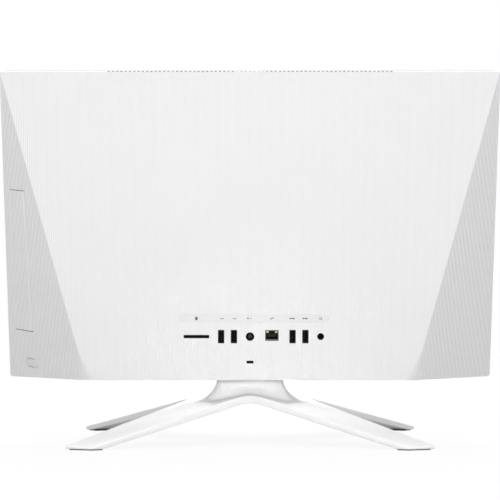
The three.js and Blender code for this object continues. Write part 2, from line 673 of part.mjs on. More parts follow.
// Screen side: frame, chin, loudspeaker strip, display and its backlight.
const frontFace = -head.frontDepth;
const frameBack = -head.rimDepth - gap;
const displayBottom = chin.height + bezel.lowerBorder;
const pocketHalf = display.width / 2 + display.overlap;
const pocketHeights = [
  chin.height + gap + bezel.lowerBorder / 2,
  displayBottom + display.height + display.overlap,
];
function frontOutline(z0, z1) {
  return roundedOutline([-halfWidth, halfWidth], [z0, z1], head.topCorner);
}
function frontBezel() {
  const whole = prism('y', frontOutline(-head.height / 2, head.height), frontFace, frameBack);
  const below = block([-head.width, head.width], [frontFace - overrun, frameBack + overrun],
    [-head.height, chin.height + gap]);
  const window = block([-display.width / 2, display.width / 2], [frontFace - overrun, frameBack],
    [displayBottom, displayBottom + display.height]);
  const pocket = block([-pocketHalf - gap, pocketHalf + gap], [frontFace + bezel.lip, frameBack + overrun],
    [pocketHeights[0] - gap, pocketHeights[1] + gap]);
  return cut(whole, below, window, pocket);
}
add(headGroup, 'front_bezel', frontBezel(), glassBlack);

function chinCover() {
  const whole = prism('y', roundedOutline([-halfWidth, halfWidth], [0, head.height], head.bottomCorner),
    frontFace, frameBack);
  const above = block([-head.width, head.width], [frontFace - overrun, frameBack + overrun],
    [chin.height, head.height + overrun]);
  const strip = [chin.grilleRise, chin.grilleRise + chin.grilleHeight];
  const pocket = block([-grilleHalfWidth - gap, grilleHalfWidth + gap],
    [frontFace - overrun, frontFace + chin.pocket], [strip[0] - gap, strip[1] + gap]);
  const windows = [-1, 1].map((side) => {
    const edges = [speakerInner + speaker.windowInset, grilleHalfWidth - speaker.windowInset]
      .map((edge) => side * edge);
    return block([Math.min(...edges), Math.max(...edges)], [frontFace, frameBack + overrun], strip);
  });
  return cut(whole, above, pocket, ...windows);
}
add(headGroup, 'chin_cover', chinCover(), white);
add(headGroup, 'speaker_grille', block([-grilleHalfWidth, grilleHalfWidth],
  [frontFace + chin.pocket - gap - grille.thickness, frontFace + chin.pocket - gap],
  [chin.grilleRise, chin.grilleRise + chin.grilleHeight]), matteBlack);

const cellFront = frontFace + bezel.lip + gap;
const backlightFront = cellFront + display.cell + gap;
add(headGroup, 'display_panel',
  block([-pocketHalf, pocketHalf], [cellFront, cellFront + display.cell], pocketHeights), glassBlack);
add(headGroup, 'backlight_unit', block([-pocketHalf, pocketHalf],
  [backlightFront, backlightFront + display.backlight], pocketHeights), matteBlack);

for (const [name, side] of [['left_speaker', -1], ['right_speaker', 1]]) {
  const edges = [side * speakerInner, side * speakerOuter];
  add(headGroup, name, block([Math.min(...edges), Math.max(...edges)],
    [-head.rimDepth, -head.rimDepth + speaker.depth], [speaker.bottom, speaker.top]), matteBlack);
}

// Chassis plate with the posts that carry the disc drive and the storage drive.
function chassisPlate() {
  const side = halfWidth - chassis.sideInset;
  const plate = block([-side, side], [chassisBack - chassis.thickness, chassisBack],
    [chassis.bottom, head.height - chassis.topInset]);
  const posts = [];
  const onPosts = (x0, x1, z0, z1, reach) => {
    for (const x of [x0 + chassis.postRadius * 2, x1 - chassis.postRadius * 2]) {
      for (const z of [z0 + chassis.postRadius * 2, z1 - chassis.postRadius * 2]) {
        posts.push(bar('y', chassis.postRadius, [x, z], chassisBack - chassis.thickness / 2, reach, 10));
      }
    }
  };
  onPosts(discInner, discOuter, disc.bottom, disc.bottom + disc.height, disc.front - gap);
  onPosts(storageOuter, storageInner, storage.bottom, storage.bottom + storage.height,
    storage.front - gap - caddy.sheet - gap);
  return join(plate, ...posts);
}
add(headGroup, 'chassis_plate', chassisPlate(), steel);

const storageHeights = [storage.bottom, storage.bottom + storage.height];
add(headGroup, 'storage_drive', block([storageOuter, storageInner],
  [storage.front, storage.front + storage.thickness], storageHeights), brightSteel);
function driveCaddy() {
  const back = storage.front - gap;
  const [z0, z1] = [storageHeights[0] - gap - caddy.sheet, storageHeights[1] + gap + caddy.sheet];
  const floor = block([storageOuter, storageInner], [back - caddy.sheet, back], [z0, z1]);
  const side = (from) => block([storageOuter, storageInner], [back - caddy.sheet, back + caddy.flange],
    [from, from + caddy.sheet]);
  return join(floor, side(z0), side(z1 - caddy.sheet));
}
add(headGroup, 'drive_caddy', driveCaddy(), steel);

// Tilt hinge on the head's side: bracket, shaft, washers and nuts.
const armInner = standBracket.halfWidth + gap + washer.thickness + gap;
const armOuter = armInner + headBracket.arm;
function circle(radius, [a, b], sides = 20) {
  return Array.from({ length: sides }, (_, i) => {
    const turn = i / sides * Math.PI * 2;
    return [a + radius * Math.cos(turn), b + radius * Math.sin(turn)];
  });
}
function hullAlongX(outline, from, to) {
  return hullOf([...outline.map(([y, z]) => [from, y, z]), ...outline.map(([y, z]) => [to, y, z])]);
}
function headBracketSolid() {
  const seat = chassisBack + gap;
  const low = chassis.bottom + gap;
  const axis = [hinge.depth, hinge.rise];
  const pieces = [block([-headBracket.halfWidth, headBracket.halfWidth], [seat, seat + headBracket.plate],
    [low, low + headBracket.seatHeight])];
  const profile = [[seat, low], [seat, low + headBracket.footHeight], ...circle(headBracket.armRadius, axis)];
  for (const side of [-1, 1]) pieces.push(hullAlongX(profile, side * armInner, side * armOuter));
  const bore = bar('x', hinge.shaftRadius + gap, axis, -armOuter - overrun, armOuter + overrun, 32);
  return cut(join(...pieces), bore);
}
add(headGroup, 'head_bracket', headBracketSolid(), steel);

const shaftEnd = armOuter + gap + nut.thickness + hinge.shaftOverhang;
add(headGroup, 'hinge_shaft',
  bar('x', hinge.shaftRadius, [hinge.depth, hinge.rise], -shaftEnd, shaftEnd, 32), brightSteel);
for (const [name, side] of [['left', -1], ['right', 1]]) {
  const axis = [hinge.depth, hinge.rise];
  const ring = (radius, from, to, sides) => {
    const ends = [side * from, side * to].sort((a, b) => a - b);
    return cut(bar('x', radius, axis, ...ends, sides),
      bar('x', hinge.shaftRadius + gap, axis, ends[0] - overrun, ends[1] + overrun, 32));
  };
  const washerFrom = standBracket.halfWidth + gap;
  const nutFrom = armOuter + gap;
  add(headGroup, `friction_washer_${name}`,
    ring(washer.radius, washerFrom, washerFrom + washer.thickness, 32), steel);
  add(headGroup, `hinge_nut_${name}`, ring(nut.radius, nutFrom, nutFrom + nut.thickness, 6), brightSteel);
}

// Tilt hinge on the stand's side: a bracket screwed to the top of the neck.
const plateBottom = neckTop + gap;
const plateTop = plateBottom + standBracket.plate;
const screwHoleRadius = standScrew.shankRadius + gap;
function screwHoles() {
  return [-1, 1].map((side) => bar('z', screwHoleRadius, [side * standScrew.spacing / 2, hinge.back],
    neckTop - standScrew.length - gap, plateTop + overrun, 12));
}
function standBracketSolid() {
  const base = block([-standBracket.halfWidth, standBracket.halfWidth],
    [hinge.back - standBracket.halfDepth, hinge.back + standBracket.halfDepth], [plateBottom, plateTop]);
  const axis = [hinge.back, hinge.height];
  const foot = [-1, 1].map((side) => [hinge.back + side * standBracket.halfDepth, plateBottom]);
  const profile = [...foot, ...circle(standBracket.earRadius, axis)];
  const ears = [-1, 1].map((side) => hullAlongX(profile, side * (standBracket.halfWidth - standBracket.ear),
    side * standBracket.halfWidth));
  const bore = bar('x', hinge.shaftRadius + gap, axis, -standBracket.halfWidth - overrun,
    standBracket.halfWidth + overrun, 32);
  return cut(join(base, ...ears), bore, ...screwHoles());
}
add(computer, 'stand_bracket', standBracketSolid(), steel);

[-1, 1].forEach((side, i) => {
  const place = [side * standScrew.spacing / 2, hinge.back];
  const headBottom = plateTop + gap;
  const screwHead = bar('z', standScrew.headRadius, place, headBottom, headBottom + standScrew.headHeight, 12);
  const shank = bar('z', standScrew.shankRadius, place, neckTop - standScrew.length,
    headBottom + standScrew.headHeight / 2, 12);
  add(computer, `stand_screw_${i + 1}`, join(screwHead, shank), brightSteel);
});

// Stand: four flat legs that run down from a hub, and the neck that flares out of it.
// One quarter is a ruled strip between the leg's inner edge and its outer edge; the other three mirror it.
function legStation(share) {
  const mix = (a, b, s) => a + (b - a) * s;
  const inner = [mix(0, stand.innerToeX, share), mix(stand.hubBack, stand.innerToeY, share),
    mix(hubBackTop, stand.innerToeTop, share)];
  const outer = [mix(stand.hubSide, stand.outerToeX, share), mix(0, stand.outerToeY, share),
    mix(hubSideTop, stand.outerToeTop, share)];
  return [inner, outer, mix(stand.hubThickness, stand.toeThickness, share)];
}

// The underside is level with the sole where the leg comes down to the table.
function underside(top, thickness) {
  return Math.max(top - thickness, stand.sole);
}

function standLegs() {
  const stations = 14;
  const positions = [];
  const push = (a, b, c, mirrored) => positions.push(...a, ...(mirrored ? c : b), ...(mirrored ? b : c));
  const quad = (a, b, c, d, mirrored) => {
    push(a, b, c, mirrored);
    push(a, c, d, mirrored);
  };
  for (const sx of [1, -1]) {
    for (const sy of [1, -1]) {
      const mirrored = sx * sy < 0;
      const place = ([x, y, z]) => [sx * x, sy * y, z];
      const under = ([x, y, z], thickness) => [x, y, underside(z, thickness)];
      const strip = [];
      for (let i = 0; i <= stations; i += 1) strip.push(legStation(i / stations));
      const hub = [0, 0, hubTop];
      const hubThickness = hubTop - hubBackTop + stand.hubThickness;
      push(place(hub), place(strip[0][1]), place(strip[0][0]), mirrored);
      push(place(under(hub, hubThickness)), place(under(strip[0][0], stand.hubThickness)),
        place(under(strip[0][1], stand.hubThickness)), mirrored);
      for (let i = 0; i < stations; i += 1) {
        const [a, b, ta] = strip[i];
        const [c, d, tc] = strip[i + 1];
        quad(place(a), place(b), place(d), place(c), mirrored);
        quad(place(under(a, ta)), place(under(c, tc)), place(under(d, tc)), place(under(b, ta)), mirrored);
        quad(place(a), place(c), place(under(c, tc)), place(under(a, ta)), mirrored);
        quad(place(d), place(b), place(under(b, ta)), place(under(d, tc)), mirrored);
      }
      const [c, d, t] = strip[stations];
      quad(place(c), place(d), place(under(d, t)), place(under(c, t)), mirrored);
    }
  }
  const geometry = new THREE.BufferGeometry();
  geometry.setAttribute('position', new THREE.Float32BufferAttribute(positions, 3));
  return geometry;
}

// The stand's outline seen from above, as tall as the neck: the neck's flare ends at the legs' edges.
function standPlan() {
  const quarter = (sx, sy) => {
    const [innerHub, outerHub] = legStation(0);
    const [innerToe, outerToe] = legStation(1);
    return [outerHub, outerToe, innerToe, innerHub].map(([x, y]) => [sx * x, sy * y]);
  };
  const outline = [...quarter(1, 1).slice(1), ...quarter(-1, 1).reverse().slice(1),
    ...quarter(-1, -1).slice(1), ...quarter(1, -1).reverse().slice(1)];
  return prism('z', outline, 0, neckTop);
}

// Neck: rounded sections that widen downwards round a concave curve and lean forward to the hub.
function neckSolid() {
  const rings = [];
  const sides = 40;
  const levels = 10;
  const ring = (z, halfX, halfY, middle, roundness) => Array.from({ length: sides }, (_, i) => {
    const turn = (i + 0.5) / sides * Math.PI * 2;
    const [c, s] = [Math.cos(turn), Math.sin(turn)].map((v) => Math.sign(v) * Math.abs(v) ** roundness);
    return [c * halfX, middle + s * halfY, z];
  });
  const boxRoundness = 0.42;
  rings.push(ring(flareBase - neck.rootDrop, neck.halfWidth + neck.flareReach + neck.rootReach,
    neck.halfDepth + neck.flareDepthReach + neck.rootReach, hinge.back - neck.lean, 1));
  for (let i = 0; i <= levels; i += 1) {
    const share = 1 - Math.cos(i / levels * Math.PI / 2);
    const flare = 1 - Math.sqrt(1 - (1 - share) ** 2);
    rings.push(ring(flareBase + neck.flareHeight * share, neck.halfWidth + neck.flareReach * flare,
      neck.halfDepth + neck.flareDepthReach * flare, hinge.back - neck.lean * (1 - share) ** 2,
      boxRoundness + (1 - boxRoundness) * Math.sqrt(flare)));
  }
  rings.push(ring(neckTop, neck.halfWidth, neck.halfDepth, hinge.back, boxRoundness));
  const positions = [];
  for (let k = 0; k + 1 < rings.length; k += 1) {
    for (let i = 0; i < sides; i += 1) {
      const j = (i + 1) % sides;
      positions.push(...rings[k][i], ...rings[k][j], ...rings[k + 1][j]);
      positions.push(...rings[k][i], ...rings[k + 1][j], ...rings[k + 1][i]);
    }
  }
  const last = rings.length - 1;
  for (let i = 1; i + 1 < sides; i += 1) {
    positions.push(...rings[0][0], ...rings[0][i + 1], ...rings[0][i]);
    positions.push(...rings[last][0], ...rings[last][i], ...rings[last][i + 1]);
  }
  const geometry = new THREE.BufferGeometry();
  geometry.setAttribute('position', new THREE.Float32BufferAttribute(positions, 3));
  return geometry;
}

// A foot pad's outline in plan: the toe's own shape, drawn in from its edges.
function padOutline(sx, sy, margin) {
  const inset = pad.inset - margin;
  const legRun = stand.outerToeX - stand.hubSide;
  const toe = 1 - inset / legRun;
  const heel = 1 - (pad.length + margin) / legRun;
  const corner = (share, side) => {
    const [inner, outer] = legStation(share);
    const width = Math.hypot(outer[0] - inner[0], outer[1] - inner[1]);
    const across = side < 0 ? inset / width : 1 - inset / width;
    const [x, y] = [0, 1].map((axis) => inner[axis] + (outer[axis] - inner[axis]) * across);
    return [sx * x, sy * y];
  };
  const outline = [corner(heel, 1), corner(toe, 1), corner(toe, -1), corner(heel, -1)];
  return sx * sy < 0 ? outline.reverse() : outline;
}

const quarters = [['front_left', -1, -1], ['front_right', 1, -1], ['back_left', -1, 1], ['back_right', 1, 1]];
function standBase() {
  const recesses = quarters.map(([, sx, sy]) =>
    prism('z', padOutline(sx, sy, gap), -overrun, stand.sole + pad.recess));
  const neckOverLegs = common(neckSolid(), standPlan());
  return cut(join(standLegs(), neckOverLegs), ...recesses, ...screwHoles());
}
add(computer, 'stand_base', standBase(), whiteMetal);
for (const [name, sx, sy] of quarters) {
  const padTop = stand.sole + pad.recess - gap;
  add(computer, `foot_pad_${name}`, prism('z', padOutline(sx, sy, 0), 0, padTop), rubber);
}

export default computer;
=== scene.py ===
# The looks of an all-in-one computer on a four-legged stand, dressed round its solids.
# Metres, +Z up. The screen faces -Y and the ports face +Y.

import math

import bmesh
import bpy
from mathutils import Matrix, Vector
from mathutils.bvhtree import BVHTree


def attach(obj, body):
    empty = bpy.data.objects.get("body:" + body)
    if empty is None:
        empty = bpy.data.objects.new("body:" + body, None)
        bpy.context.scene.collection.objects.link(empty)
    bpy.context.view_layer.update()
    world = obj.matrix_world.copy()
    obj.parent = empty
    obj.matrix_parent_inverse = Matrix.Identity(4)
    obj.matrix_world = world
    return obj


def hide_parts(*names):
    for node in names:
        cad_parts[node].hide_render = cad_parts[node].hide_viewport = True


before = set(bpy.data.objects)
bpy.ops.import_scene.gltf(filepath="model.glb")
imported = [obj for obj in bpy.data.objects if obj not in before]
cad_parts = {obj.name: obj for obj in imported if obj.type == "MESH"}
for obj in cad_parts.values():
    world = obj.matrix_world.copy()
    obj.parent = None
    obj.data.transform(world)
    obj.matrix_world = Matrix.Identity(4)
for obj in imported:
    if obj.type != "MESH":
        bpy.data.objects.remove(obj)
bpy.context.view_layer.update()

MM = 0.001


def mm(*sizes):
    return tuple(size * MM for size in sizes)


# Sizes of the head, in its own frame: x across, y backwards from the side edges, z up along the screen.
HEAD_WIDTH = 490 * MM
HEAD_HEIGHT = 308.6 * MM
RIM_DEPTH = 10 * MM
BULGE = 55.8 * MM
WALL = 2.2 * MM
TOP_CORNER = 3 * MM
CORNER_STEPS = 12
TOP_LIP = 0.7 * MM
BOTTOM_CORNER = 3 * MM
FACET_ANGLE = math.radians(32.8)
REST_TILT = math.radians(11.5)
CREASE_SOFT = 7 * MM
CREASE_SHARP = 0.4 * MM
CREASE_HEIGHT = 42 * MM
CREASE_ROW = 2 * MM
HINGE_PLACE = Vector(mm(0, 26, 88))
HINGE_IN_HEAD = Vector(mm(0, 18.3, 27.1))
HALF_WIDTH = HEAD_WIDTH / 2
MID_SLOPE = BULGE / HEAD_HEIGHT
MID_ANGLE = math.atan(MID_SLOPE)
FACET_SLOPE = math.tan(FACET_ANGLE)
FACET_COS = math.cos(FACET_ANGLE)
EDGE_DEPTH = BULGE / (1 + MID_SLOPE * math.tan(REST_TILT))
EDGE_RISE = EDGE_DEPTH * math.tan(REST_TILT)

# The fine ribs that cover the back.
RIB_PITCH = 1.79 * MM
RIB_DEPTH = 0.17 * MM
FACET_RIB_DEPTH = 0.34 * MM
RIB_STEPS = 8
RIB_LEAN = math.tan(math.radians(1.5))
RIB_FADE = 1.2 * MM
FACET_FROM = 150 * MM
SOFT_ZONE = mm(128, 196)
CLEAR_DEPTH = BULGE + 20 * MM

# How far a cutting solid runs past the face that it cuts, and the gap round each inset part.
OVERRUN = 4 * MM
GAP = 0.3 * MM
CUT_FRONT = -RIM_DEPTH - OVERRUN
CUT_TOP = HEAD_HEIGHT + OVERRUN
THROUGH_WALL = (-WALL - OVERRUN, OVERRUN)

# How many sides round parts have, and how many steps go into rounded ends, lips and tips.
ROUND_SIDES = 48
POST_SIDES = 32
STEM_SIDES = 24
END_STEPS = 10
LIP_STEPS = 4
TIP_STEPS = 3

# Turns, in degrees, from which a surface shows an edge: on the ribs, on round parts and on the rest.
RIB_TURN = 1
ROUND_TURN = 35
PLAIN_TURN = 30

# Frames: the head leans back about its hinge, and the rear face and the side facet have their own in it.
HEAD = (Matrix.Translation(HINGE_PLACE) @ Matrix.Rotation(-REST_TILT, 4, "X")
        @ Matrix.Translation(-HINGE_IN_HEAD))
FACE = HEAD @ Matrix.Translation((0, EDGE_DEPTH, EDGE_RISE)) @ Matrix.Rotation(MID_ANGLE, 4, "X")
FACET = HEAD @ Matrix.Translation((HALF_WIDTH, 0, 0)) @ Matrix.Rotation(-FACET_ANGLE, 4, "Z")
SIDE = HEAD @ Matrix.Rotation(-math.pi / 2, 4, "Z")


# Mesh helpers.

SAME_POINT = 0.01
SQUARE = ((-1, -1), (1, -1), (1, 1), (-1, 1))


def linked(name, data):
    piece = bpy.data.objects.new(name, data)
    bpy.context.scene.collection.objects.link(piece)
    return piece


def finished(name, made):
    """An object from a mesh that is still being edited."""
    mesh = bpy.data.meshes.new(name)
    made.to_mesh(mesh)
    made.free()
    return linked(name, mesh)


def mesh_object(name, vertices, faces, matrix=Matrix()):
    mesh = bpy.data.meshes.new(name)
    mesh.from_pydata([matrix @ Vector(v) for v in vertices], [], faces)
    mesh.update()
    return linked(name, mesh)


def dress(piece, material, body=None, angle=PLAIN_TURN):
    piece.data.materials.clear()
    piece.data.materials.append(material)
    for polygon in piece.data.polygons:
        polygon.use_smooth = True
    piece.data.set_sharp_from_angle(angle=math.radians(angle))
    if body:
        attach(piece, body)


def solid_object(name, vertices, faces, matrix=Matrix()):
    """A closed mesh with its faces turned outwards."""
    piece = mesh_object(name, vertices, faces, matrix)
    fix_normals(piece)
    return piece


def joined(name, parts):
    """One object out of several closed lists of vertices and faces."""
    vertices, faces = [], []
    for part_vertices, part_faces in parts:
        start = len(vertices)
        vertices += [Vector(v) for v in part_vertices]
        faces += [tuple(i + start for i in face) for face in part_faces]
    return solid_object(name, vertices, faces)


def walls(size, count):
    """The faces between a count of loops, each with a size number of points."""
    faces = []
    for i in range(count - 1):
        for j in range(size):
            k = (j + 1) % size
            faces.append((i * size + j, i * size + k, (i + 1) * size + k, (i + 1) * size + j))
    return faces


def prism(matrix, outline, low, high):
    """A straight extrusion along y of an outline in (x, z) that runs counterclockwise seen from -y."""
    return stacked(matrix, [(outline, low), (outline, high)])


def rounded(x0, x1, z0, z1, radius, steps=6):
    """A rectangle with round corners, as an outline; points that fall together count once."""
    outline = []
    apart = radius * SAME_POINT
    corners = [(x1 - radius, z1 - radius, 0), (x0 + radius, z1 - radius, 1),
               (x0 + radius, z0 + radius, 2), (x1 - radius, z0 + radius, 3)]
    for centre_x, centre_z, quarter in corners:
        for i in range(steps + 1):
            turn = (quarter + i / steps) * math.pi / 2
            point = (centre_x + radius * math.cos(turn), centre_z + radius * math.sin(turn))
            if not outline or math.dist(point, outline[-1]) > apart:
                outline.append(point)
    if math.dist(outline[0], outline[-1]) < apart:
        outline.pop()
    return outline


def circle(x, z, radius, sides=40):
    return [(x + radius * math.cos(2 * math.pi * i / sides), z + radius * math.sin(2 * math.pi * i / sides))
            for i in range(sides)]


def centred_box(x, z, width, height):
    return [(x + a * width / 2, z + b * height / 2) for a, b in SQUARE]


def box_part(matrix, x, y, z):
    return prism(matrix, [(x[0], z[0]), (x[1], z[0]), (x[1], z[1]), (x[0], z[1])], *y)


def apply_modifiers(piece):
    graph = bpy.context.evaluated_depsgraph_get()
    made = bpy.data.meshes.new_from_object(piece.evaluated_get(graph))
    old = piece.data
    piece.modifiers.clear()
    piece.data = made
    bpy.data.meshes.remove(old)


def boolean(piece, tool, operation):
    """Joins or cuts a piece by another solid, and takes that solid away."""
    modifier = piece.modifiers.new("cut", "BOOLEAN")
    modifier.operation = operation
    modifier.solver = "MANIFOLD"
    modifier.object = tool
    apply_modifiers(piece)
    bpy.data.objects.remove(tool)


def fix_normals(piece):
    mesh = bmesh.new()
    mesh.from_mesh(piece.data)
    bmesh.ops.recalc_face_normals(mesh, faces=mesh.faces)
    mesh.to_mesh(piece.data)
    mesh.free()


def cut_by(piece, tools, operation="DIFFERENCE"):
    """Cuts a piece by solids that are given as lists of vertices and faces."""
    boolean(piece, joined("tool", tools), operation)


def copy_of(piece, name):
    return linked(name, piece.data.copy())


def stacked(matrix, rings):
    """A closed solid through outlines of equal length at heights along y."""
    size, count = len(rings[0][0]), len(rings)
    vertices = [matrix @ Vector((x, y, z)) for outline, y in rings for x, z in outline]
    ends = [tuple(range(size)), tuple(reversed(range((count - 1) * size, count * size)))]
    return vertices, ends + [(a, d, c, b) for a, b, c, d in walls(size, count)]


def rounded_top(outline_at, low, high, radius, steps=5):
    """Outlines that draw in over the last radius below the top."""
    rings = [(outline_at(0), low)]
    for i in range(steps + 1):
        turn = math.pi / 2 * i / steps
        rings.append((outline_at(-radius * (1 - math.cos(turn))), high - radius + radius * math.sin(turn)))
    return rings


def tube(matrix, outer, inner, low, high):
    """A tube between two outlines of equal length."""
    loops = ((outer, low), (outer, high), (inner, high), (inner, low))
    vertices = [matrix @ Vector((x, y, z)) for outline, y in loops for x, z in outline]
    return vertices, [tuple(i % len(vertices) for i in face) for face in walls(len(outer), len(loops) + 1)]


def wire(matrix, path, radius):
    """A thin square wire along a path in one plane of constant x."""
    vertices = []
    for i, (x, y, z) in enumerate(path):
        before, after = path[max(i - 1, 0)], path[min(i + 1, len(path) - 1)]
        along = Vector((0, after[1] - before[1], after[2] - before[2])).normalized()
        across = Vector((0, -along.z, along.y))
        for a, b in SQUARE:
            vertices.append(matrix @ (Vector((x + a * radius, y, z)) + across * b * radius))
    ends = [(3, 2, 1, 0), tuple(range(len(vertices) - 4, len(vertices)))]
    return vertices, ends + walls(4, len(path))


def spread(start, end, step):
    """Evenly spaced places from start to end, about a step apart."""
    count = max(1, round((end - start) / step))
    return [start + (end - start) * i / count for i in range(count + 1)]


def mirrored(half):
    """The places on both sides of the middle, from those on one side."""
    return [-x for x in reversed(half[1:])] + half


def piece_of(name, parts, material, body, angle=PLAIN_TURN, replaces=None):
    piece = joined(name, parts)
    dress(piece, material, body, angle)
    if replaces:
        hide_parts(replaces)
    return piece


# Materials.

NOISE_SPAN = (0.3, 0.7)
SLOW_DETAIL = 2.0
FINE_DETAIL = 4.0
BLOTCH = 40 * MM
BUMP_STRENGTH = 0.5
BRUSHED = (0.05, 1, 1)


def node_tree(name):
    material = bpy.data.materials.new(name)
    material.use_nodes = True
    tree = material.node_tree
    return material, tree, tree.nodes["Principled BSDF"]


def feed(tree, node, inputs):
    """Sets a node's inputs, or joins them to the outputs that are given for them."""
    for name, value in inputs.items():
        if isinstance(value, bpy.types.NodeSocket):
            tree.links.new(value, node.inputs[name])
        else:
            node.inputs[name].default_value = value
    return node


def added(tree, kind, inputs):
    return feed(tree, tree.nodes.new("ShaderNode" + kind), inputs)


def noise(tree, size, detail=3.0, stretch=(1, 1, 1)):
    """Noise whose lumps are about size metres across, in the object's own coordinates."""
    place = added(tree, "TexCoord", {}).outputs["Object"]
    place = added(tree, "Mapping", {"Scale": stretch, "Vector": place}).outputs["Vector"]
    return added(tree, "TexNoise", {"Scale": 1 / size, "Detail": detail, "Vector": place}).outputs["Fac"]


def ranged(tree, value, low, high, start=0.0, end=1.0):
    spans = {"From Min": start, "From Max": end, "To Min": low, "To Max": high}
    return added(tree, "MapRange", {"Value": value, **spans}).outputs["Result"]


def mixed(tree, value, first, second):
    node = tree.nodes.new("ShaderNodeMix")
    node.data_type = "RGBA"
    return feed(tree, node, {"Factor": value, "A": (*first, 1), "B": (*second, 1)}).outputs["Result"]


def bump(tree, value, strength, distance):
    node = added(tree, "Bump", {"Strength": strength, "Distance": distance, "Height": value})
    return node.outputs["Normal"]


def shaded(name, color, roughness, grain, relief, metallic=0.0, shade=0.03, blotch=BLOTCH, stretch=(1, 1, 1),
           specular=0.5):
    """A surface with slow changes of tone and a fine grain. Grain and relief are in millimetres."""
    material, tree, shader = node_tree(name)
    slow = noise(tree, blotch, SLOW_DETAIL)
    fine = noise(tree, grain * MM, FINE_DETAIL, stretch)
    darker = tuple(c * (1 - shade) for c in color)
    feed(tree, shader, {
        "Base Color": mixed(tree, ranged(tree, slow, 0, 1, *NOISE_SPAN), darker, color),
        "Roughness": ranged(tree, fine, *roughness, *NOISE_SPAN), "Metallic": metallic,
        "Specular IOR Level": specular, "Normal": bump(tree, fine, BUMP_STRENGTH, relief * MM)})
    return material


# The materials: tone, lowest and highest roughness, grain, relief, then metal, shade and what else differs.
cover_white = shaded("cover_white", (0.81,) * 3, (0.42, 0.55), 0.5, 0.02, shade=0.012)
# The stand's white is lighter than the cover's: partly its own paint, partly painted light for brighter light
# on the stand that the lamps don't give.
stand_white = shaded("stand_white", (0.92,) * 3, (0.32, 0.40), 0.35, 0.004, shade=0.006, specular=0.35)
trim_white = shaded("trim_white", (0.745,) * 3, (0.40, 0.50), 0.4, 0.006, shade=0.01)
bezel_black = shaded("bezel_black", (0.010, 0.010, 0.011), (0.16, 0.22), 1, 0.001, shade=0.1, specular=0.3)
screen_black = shaded("screen_black", (0.005, 0.005, 0.006), (0.20, 0.24), 0.3, 0.001, shade=0.1,
                      blotch=3 * BLOTCH, specular=0.2)
matte_black = shaded("matte_black", (0.020, 0.020, 0.021), (0.45, 0.65), 0.3, 0.02, shade=0.15, specular=0.3)
port_black = shaded("port_black", (0.0025, 0.0025, 0.0027), (0.40, 0.55), 0.25, 0.008, shade=0.15,
                    specular=0.05)
# Painted shade: a dark grey for inserts that darken the vents and notches where their insides are in shade.
vent_shade_grey = shaded("vent_shade_grey", (0.13,) * 3, (0.6, 0.8), 0.3, 0.02, shade=0.15, specular=0.1)
icon_grey = shaded("icon_grey", (0.035, 0.035, 0.036), (0.4, 0.5), 0.2, 0.002, shade=0.05)
led_pale = shaded("led_pale", (0.46, 0.47, 0.40), (0.3, 0.4), 0.3, 0.003, shade=0.04)
rubber = shaded("rubber", (0.045, 0.045, 0.047), (0.65, 0.85), 0.25, 0.03, shade=0.12)
sheet_steel = shaded("sheet_steel", (0.50, 0.51, 0.52), (0.28, 0.42), 0.15, 0.006, 1.0, 0.08, stretch=BRUSHED)
bright_steel = shaded("bright_steel", (0.66, 0.67, 0.68), (0.14, 0.26), 0.6, 0.004, 1.0, 0.05)
dark_steel = shaded("dark_steel", (0.028, 0.027, 0.025), (0.30, 0.42), 0.15, 0.004, 0.6, 0.08, specular=0.15)
port_grey = shaded("port_grey", (0.09, 0.087, 0.08), (0.35, 0.45), 0.2, 0.005, 0.5, 0.06, specular=0.2)
pin_grey = shaded("pin_grey", (0.030, 0.030, 0.031), (0.40, 0.50), 0.2, 0.004, 0.2, 0.08, specular=0.15)
copper = shaded("copper", (0.72, 0.36, 0.22), (0.2, 0.35), 0.3, 0.006, 1.0, 0.1)
gold = shaded("gold", (0.09, 0.075, 0.05), (0.3, 0.4), 0.2, 0.003, 1.0, 0.06)

# The circuit boards: green lacquer over copper tracks.
TRACK_PITCH = 6 * MM
TRACK_GAP = 0.04
LACQUER = ((0.010, 0.060, 0.028, 1), (0.012, 0.072, 0.034, 1))
LACQUER_GAP = (0.030, 0.150, 0.070, 1)
LACQUER_GLOSS = (0.3, 0.45)
LACQUER_GRAIN = 0.4 * MM
LACQUER_RELIEF = 0.01 * MM
LACQUER_BUMP = 0.4


def board_green():
    material, tree, shader = node_tree("board_green")
    place = added(tree, "TexCoord", {}).outputs["Object"]
    upright = added(tree, "Mapping", {"Rotation": (math.pi / 2, 0, 0), "Vector": place}).outputs["Vector"]
    tracks = added(tree, "TexBrick", {
        "Scale": 1 / TRACK_PITCH, "Mortar Size": TRACK_GAP, "Color1": LACQUER[0], "Color2": LACQUER[1],
        "Mortar": LACQUER_GAP, "Vector": upright})
    fine = noise(tree, LACQUER_GRAIN)
    feed(tree, shader, {
        "Base Color": tracks.outputs["Color"], "Roughness": ranged(tree, fine, *LACQUER_GLOSS, *NOISE_SPAN),
        "Normal": bump(tree, fine, LACQUER_BUMP, LACQUER_RELIEF)})
    return material


circuit = board_green()

